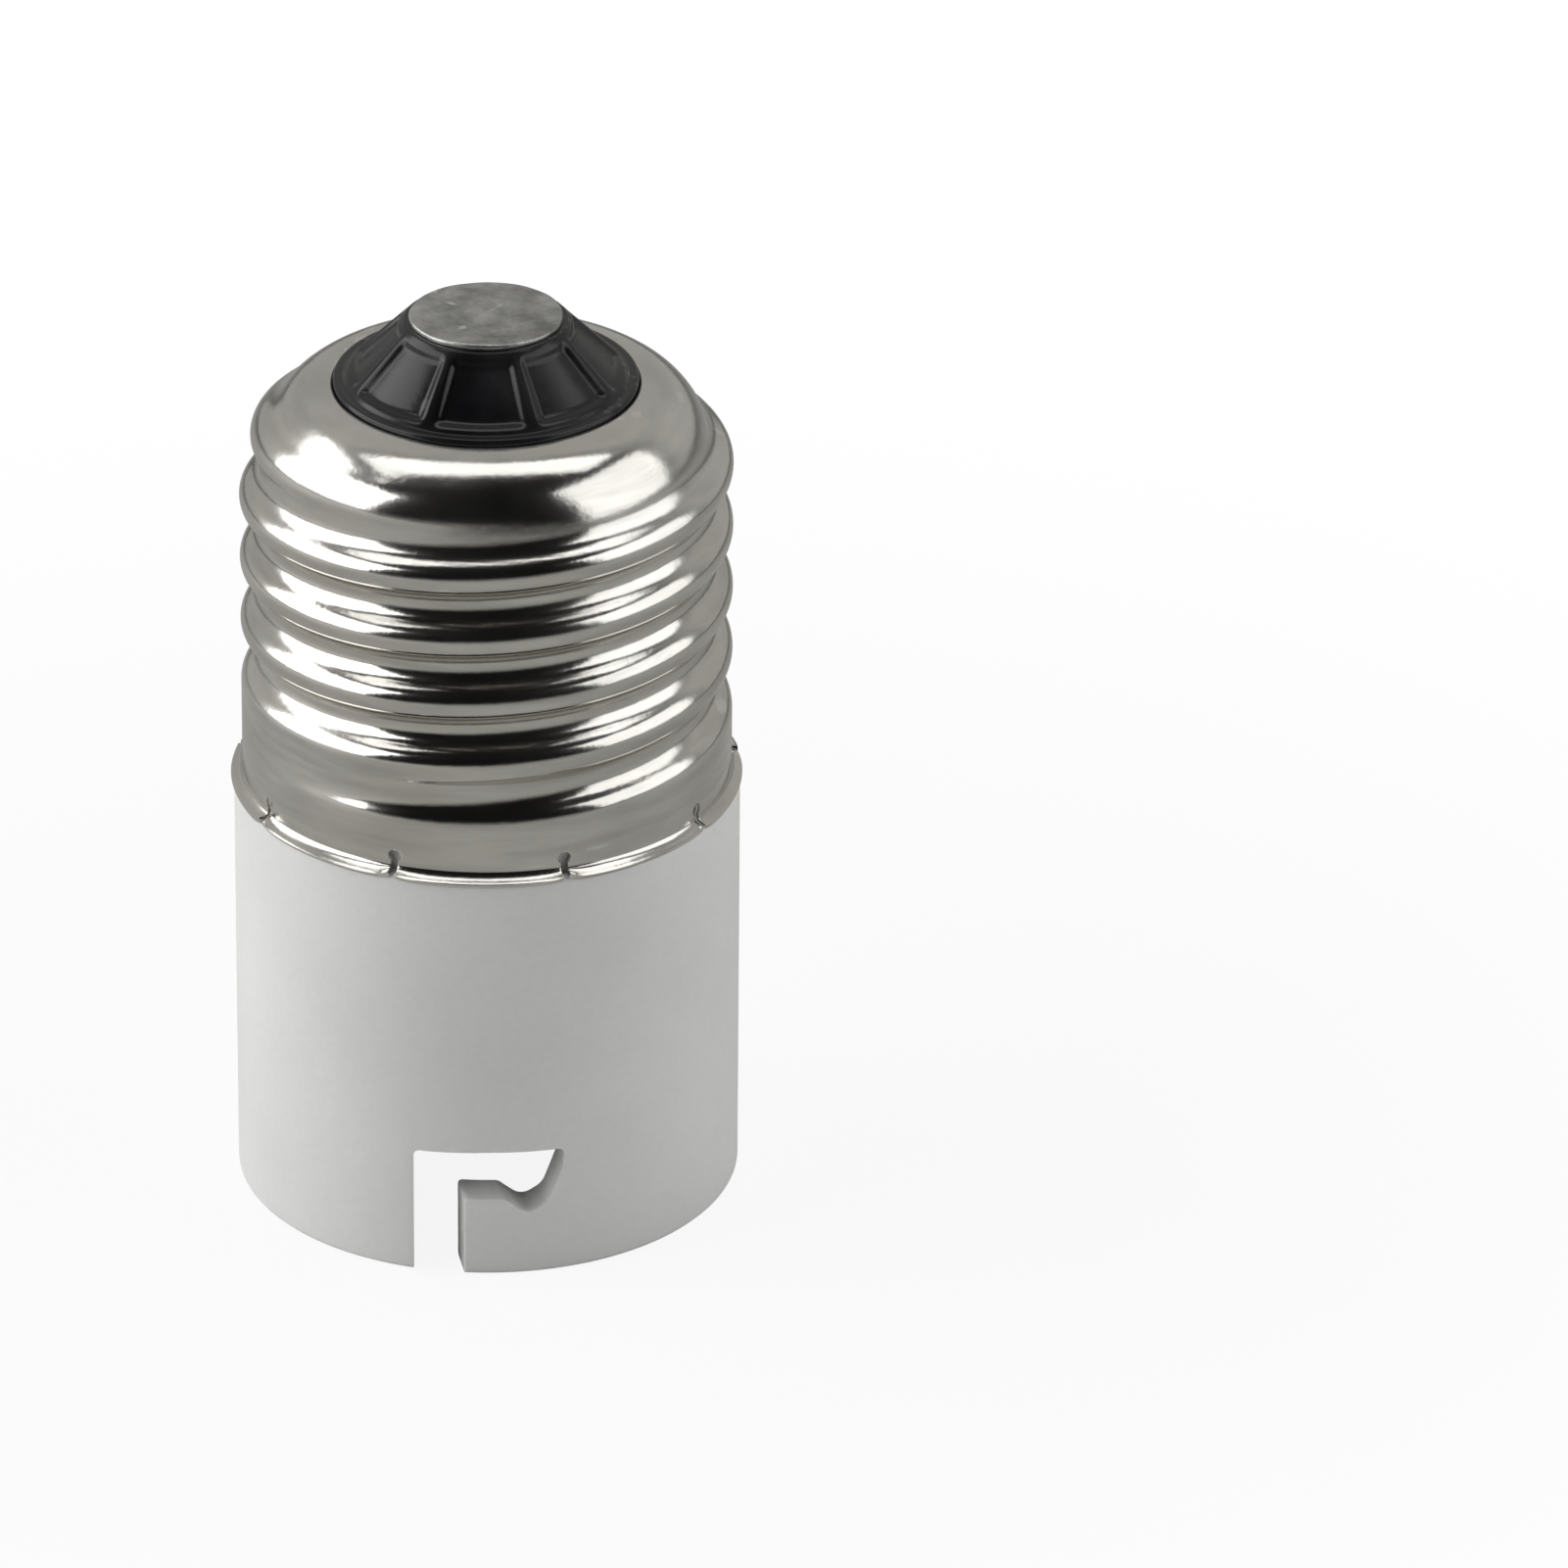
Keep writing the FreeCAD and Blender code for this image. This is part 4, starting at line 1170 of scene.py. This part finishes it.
def place(piece, body, slot, material, *nodes):
    """Gives a piece its material and its body, and hides the solids that it stands for. The slot is
    not used.
    """
    dress(piece, material)
    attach(piece, body)
    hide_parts(*nodes)


def main():
    steel = metal_material("zinc_plated_steel", (0.42, 0.42, 0.43), (0.6, 0.6, 0.61), 0.32, 900)
    brass = metal_material("tarnished_brass", (0.33, 0.26, 0.13), (0.56, 0.45, 0.24), 0.28, 600)
    dull, bright = (0.27, 0.27, 0.26), (0.62, 0.62, 0.6)
    tinned = metal_material("dull_tinned_face", dull, bright, 0.4, 520, bump=0.6, depth=0.07)
    solder = metal_material("satin_solder", (0.42, 0.43, 0.44), (0.62, 0.63, 0.64), 0.3, 700)
    copper = metal_material("tinned_copper", (0.5, 0.34, 0.24), (0.7, 0.6, 0.5), 0.3, 800)
    board = fibre_material("paper_laminate", (0.36, 0.25, 0.14), (0.5, 0.38, 0.24), 0.6)
    sleeving = fibre_material("glass_sleeving", (0.6, 0.59, 0.55), (0.8, 0.79, 0.75), 0.75, 2400)

    place(socket_body(), "adapter", "body", plastic_material(), "socket_body")
    place(screw_shell(), "adapter", "shell", nickel_material(), "screw_shell")
    place(cap_insulator(), "adapter", "insulator", black_material(), "cap_insulator")
    place(centre_contact(), "adapter", "contact", tinned, "centre_contact")
    for side, x in (("left", -PLUNGER_X), ("right", PLUNGER_X)):
        pin = plunger("brass_plunger_" + side, x)
        place(pin, "plunger_" + side, "plunger", brass, "plunger_" + side)
        coil = plunger_spring("coil_spring_" + side, x)
        place(coil, "adapter", "steel", steel, "plunger_spring_" + side)
        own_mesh(coil)
    # These hidden pieces keep the solids' own shapes
    kept = {
        "retainer_disc": board, "retainer_screw": steel,
        "terminal_left": brass, "terminal_right": brass,
        "centre_lead": copper, "shell_lead": copper,
        "centre_lead_sleeve": sleeving, "shell_lead_sleeve": sleeving,
        "solder_tag_left": solder, "solder_tag_right": solder,
        "solder_shell": solder, "solder_centre": solder,
    }
    for node, material in kept.items():
        dress(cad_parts[node], material)
    make_camera()
    make_lights()
    make_world()
    make_floor()
    bpy.context.scene.view_settings.view_transform = "Standard"


main()
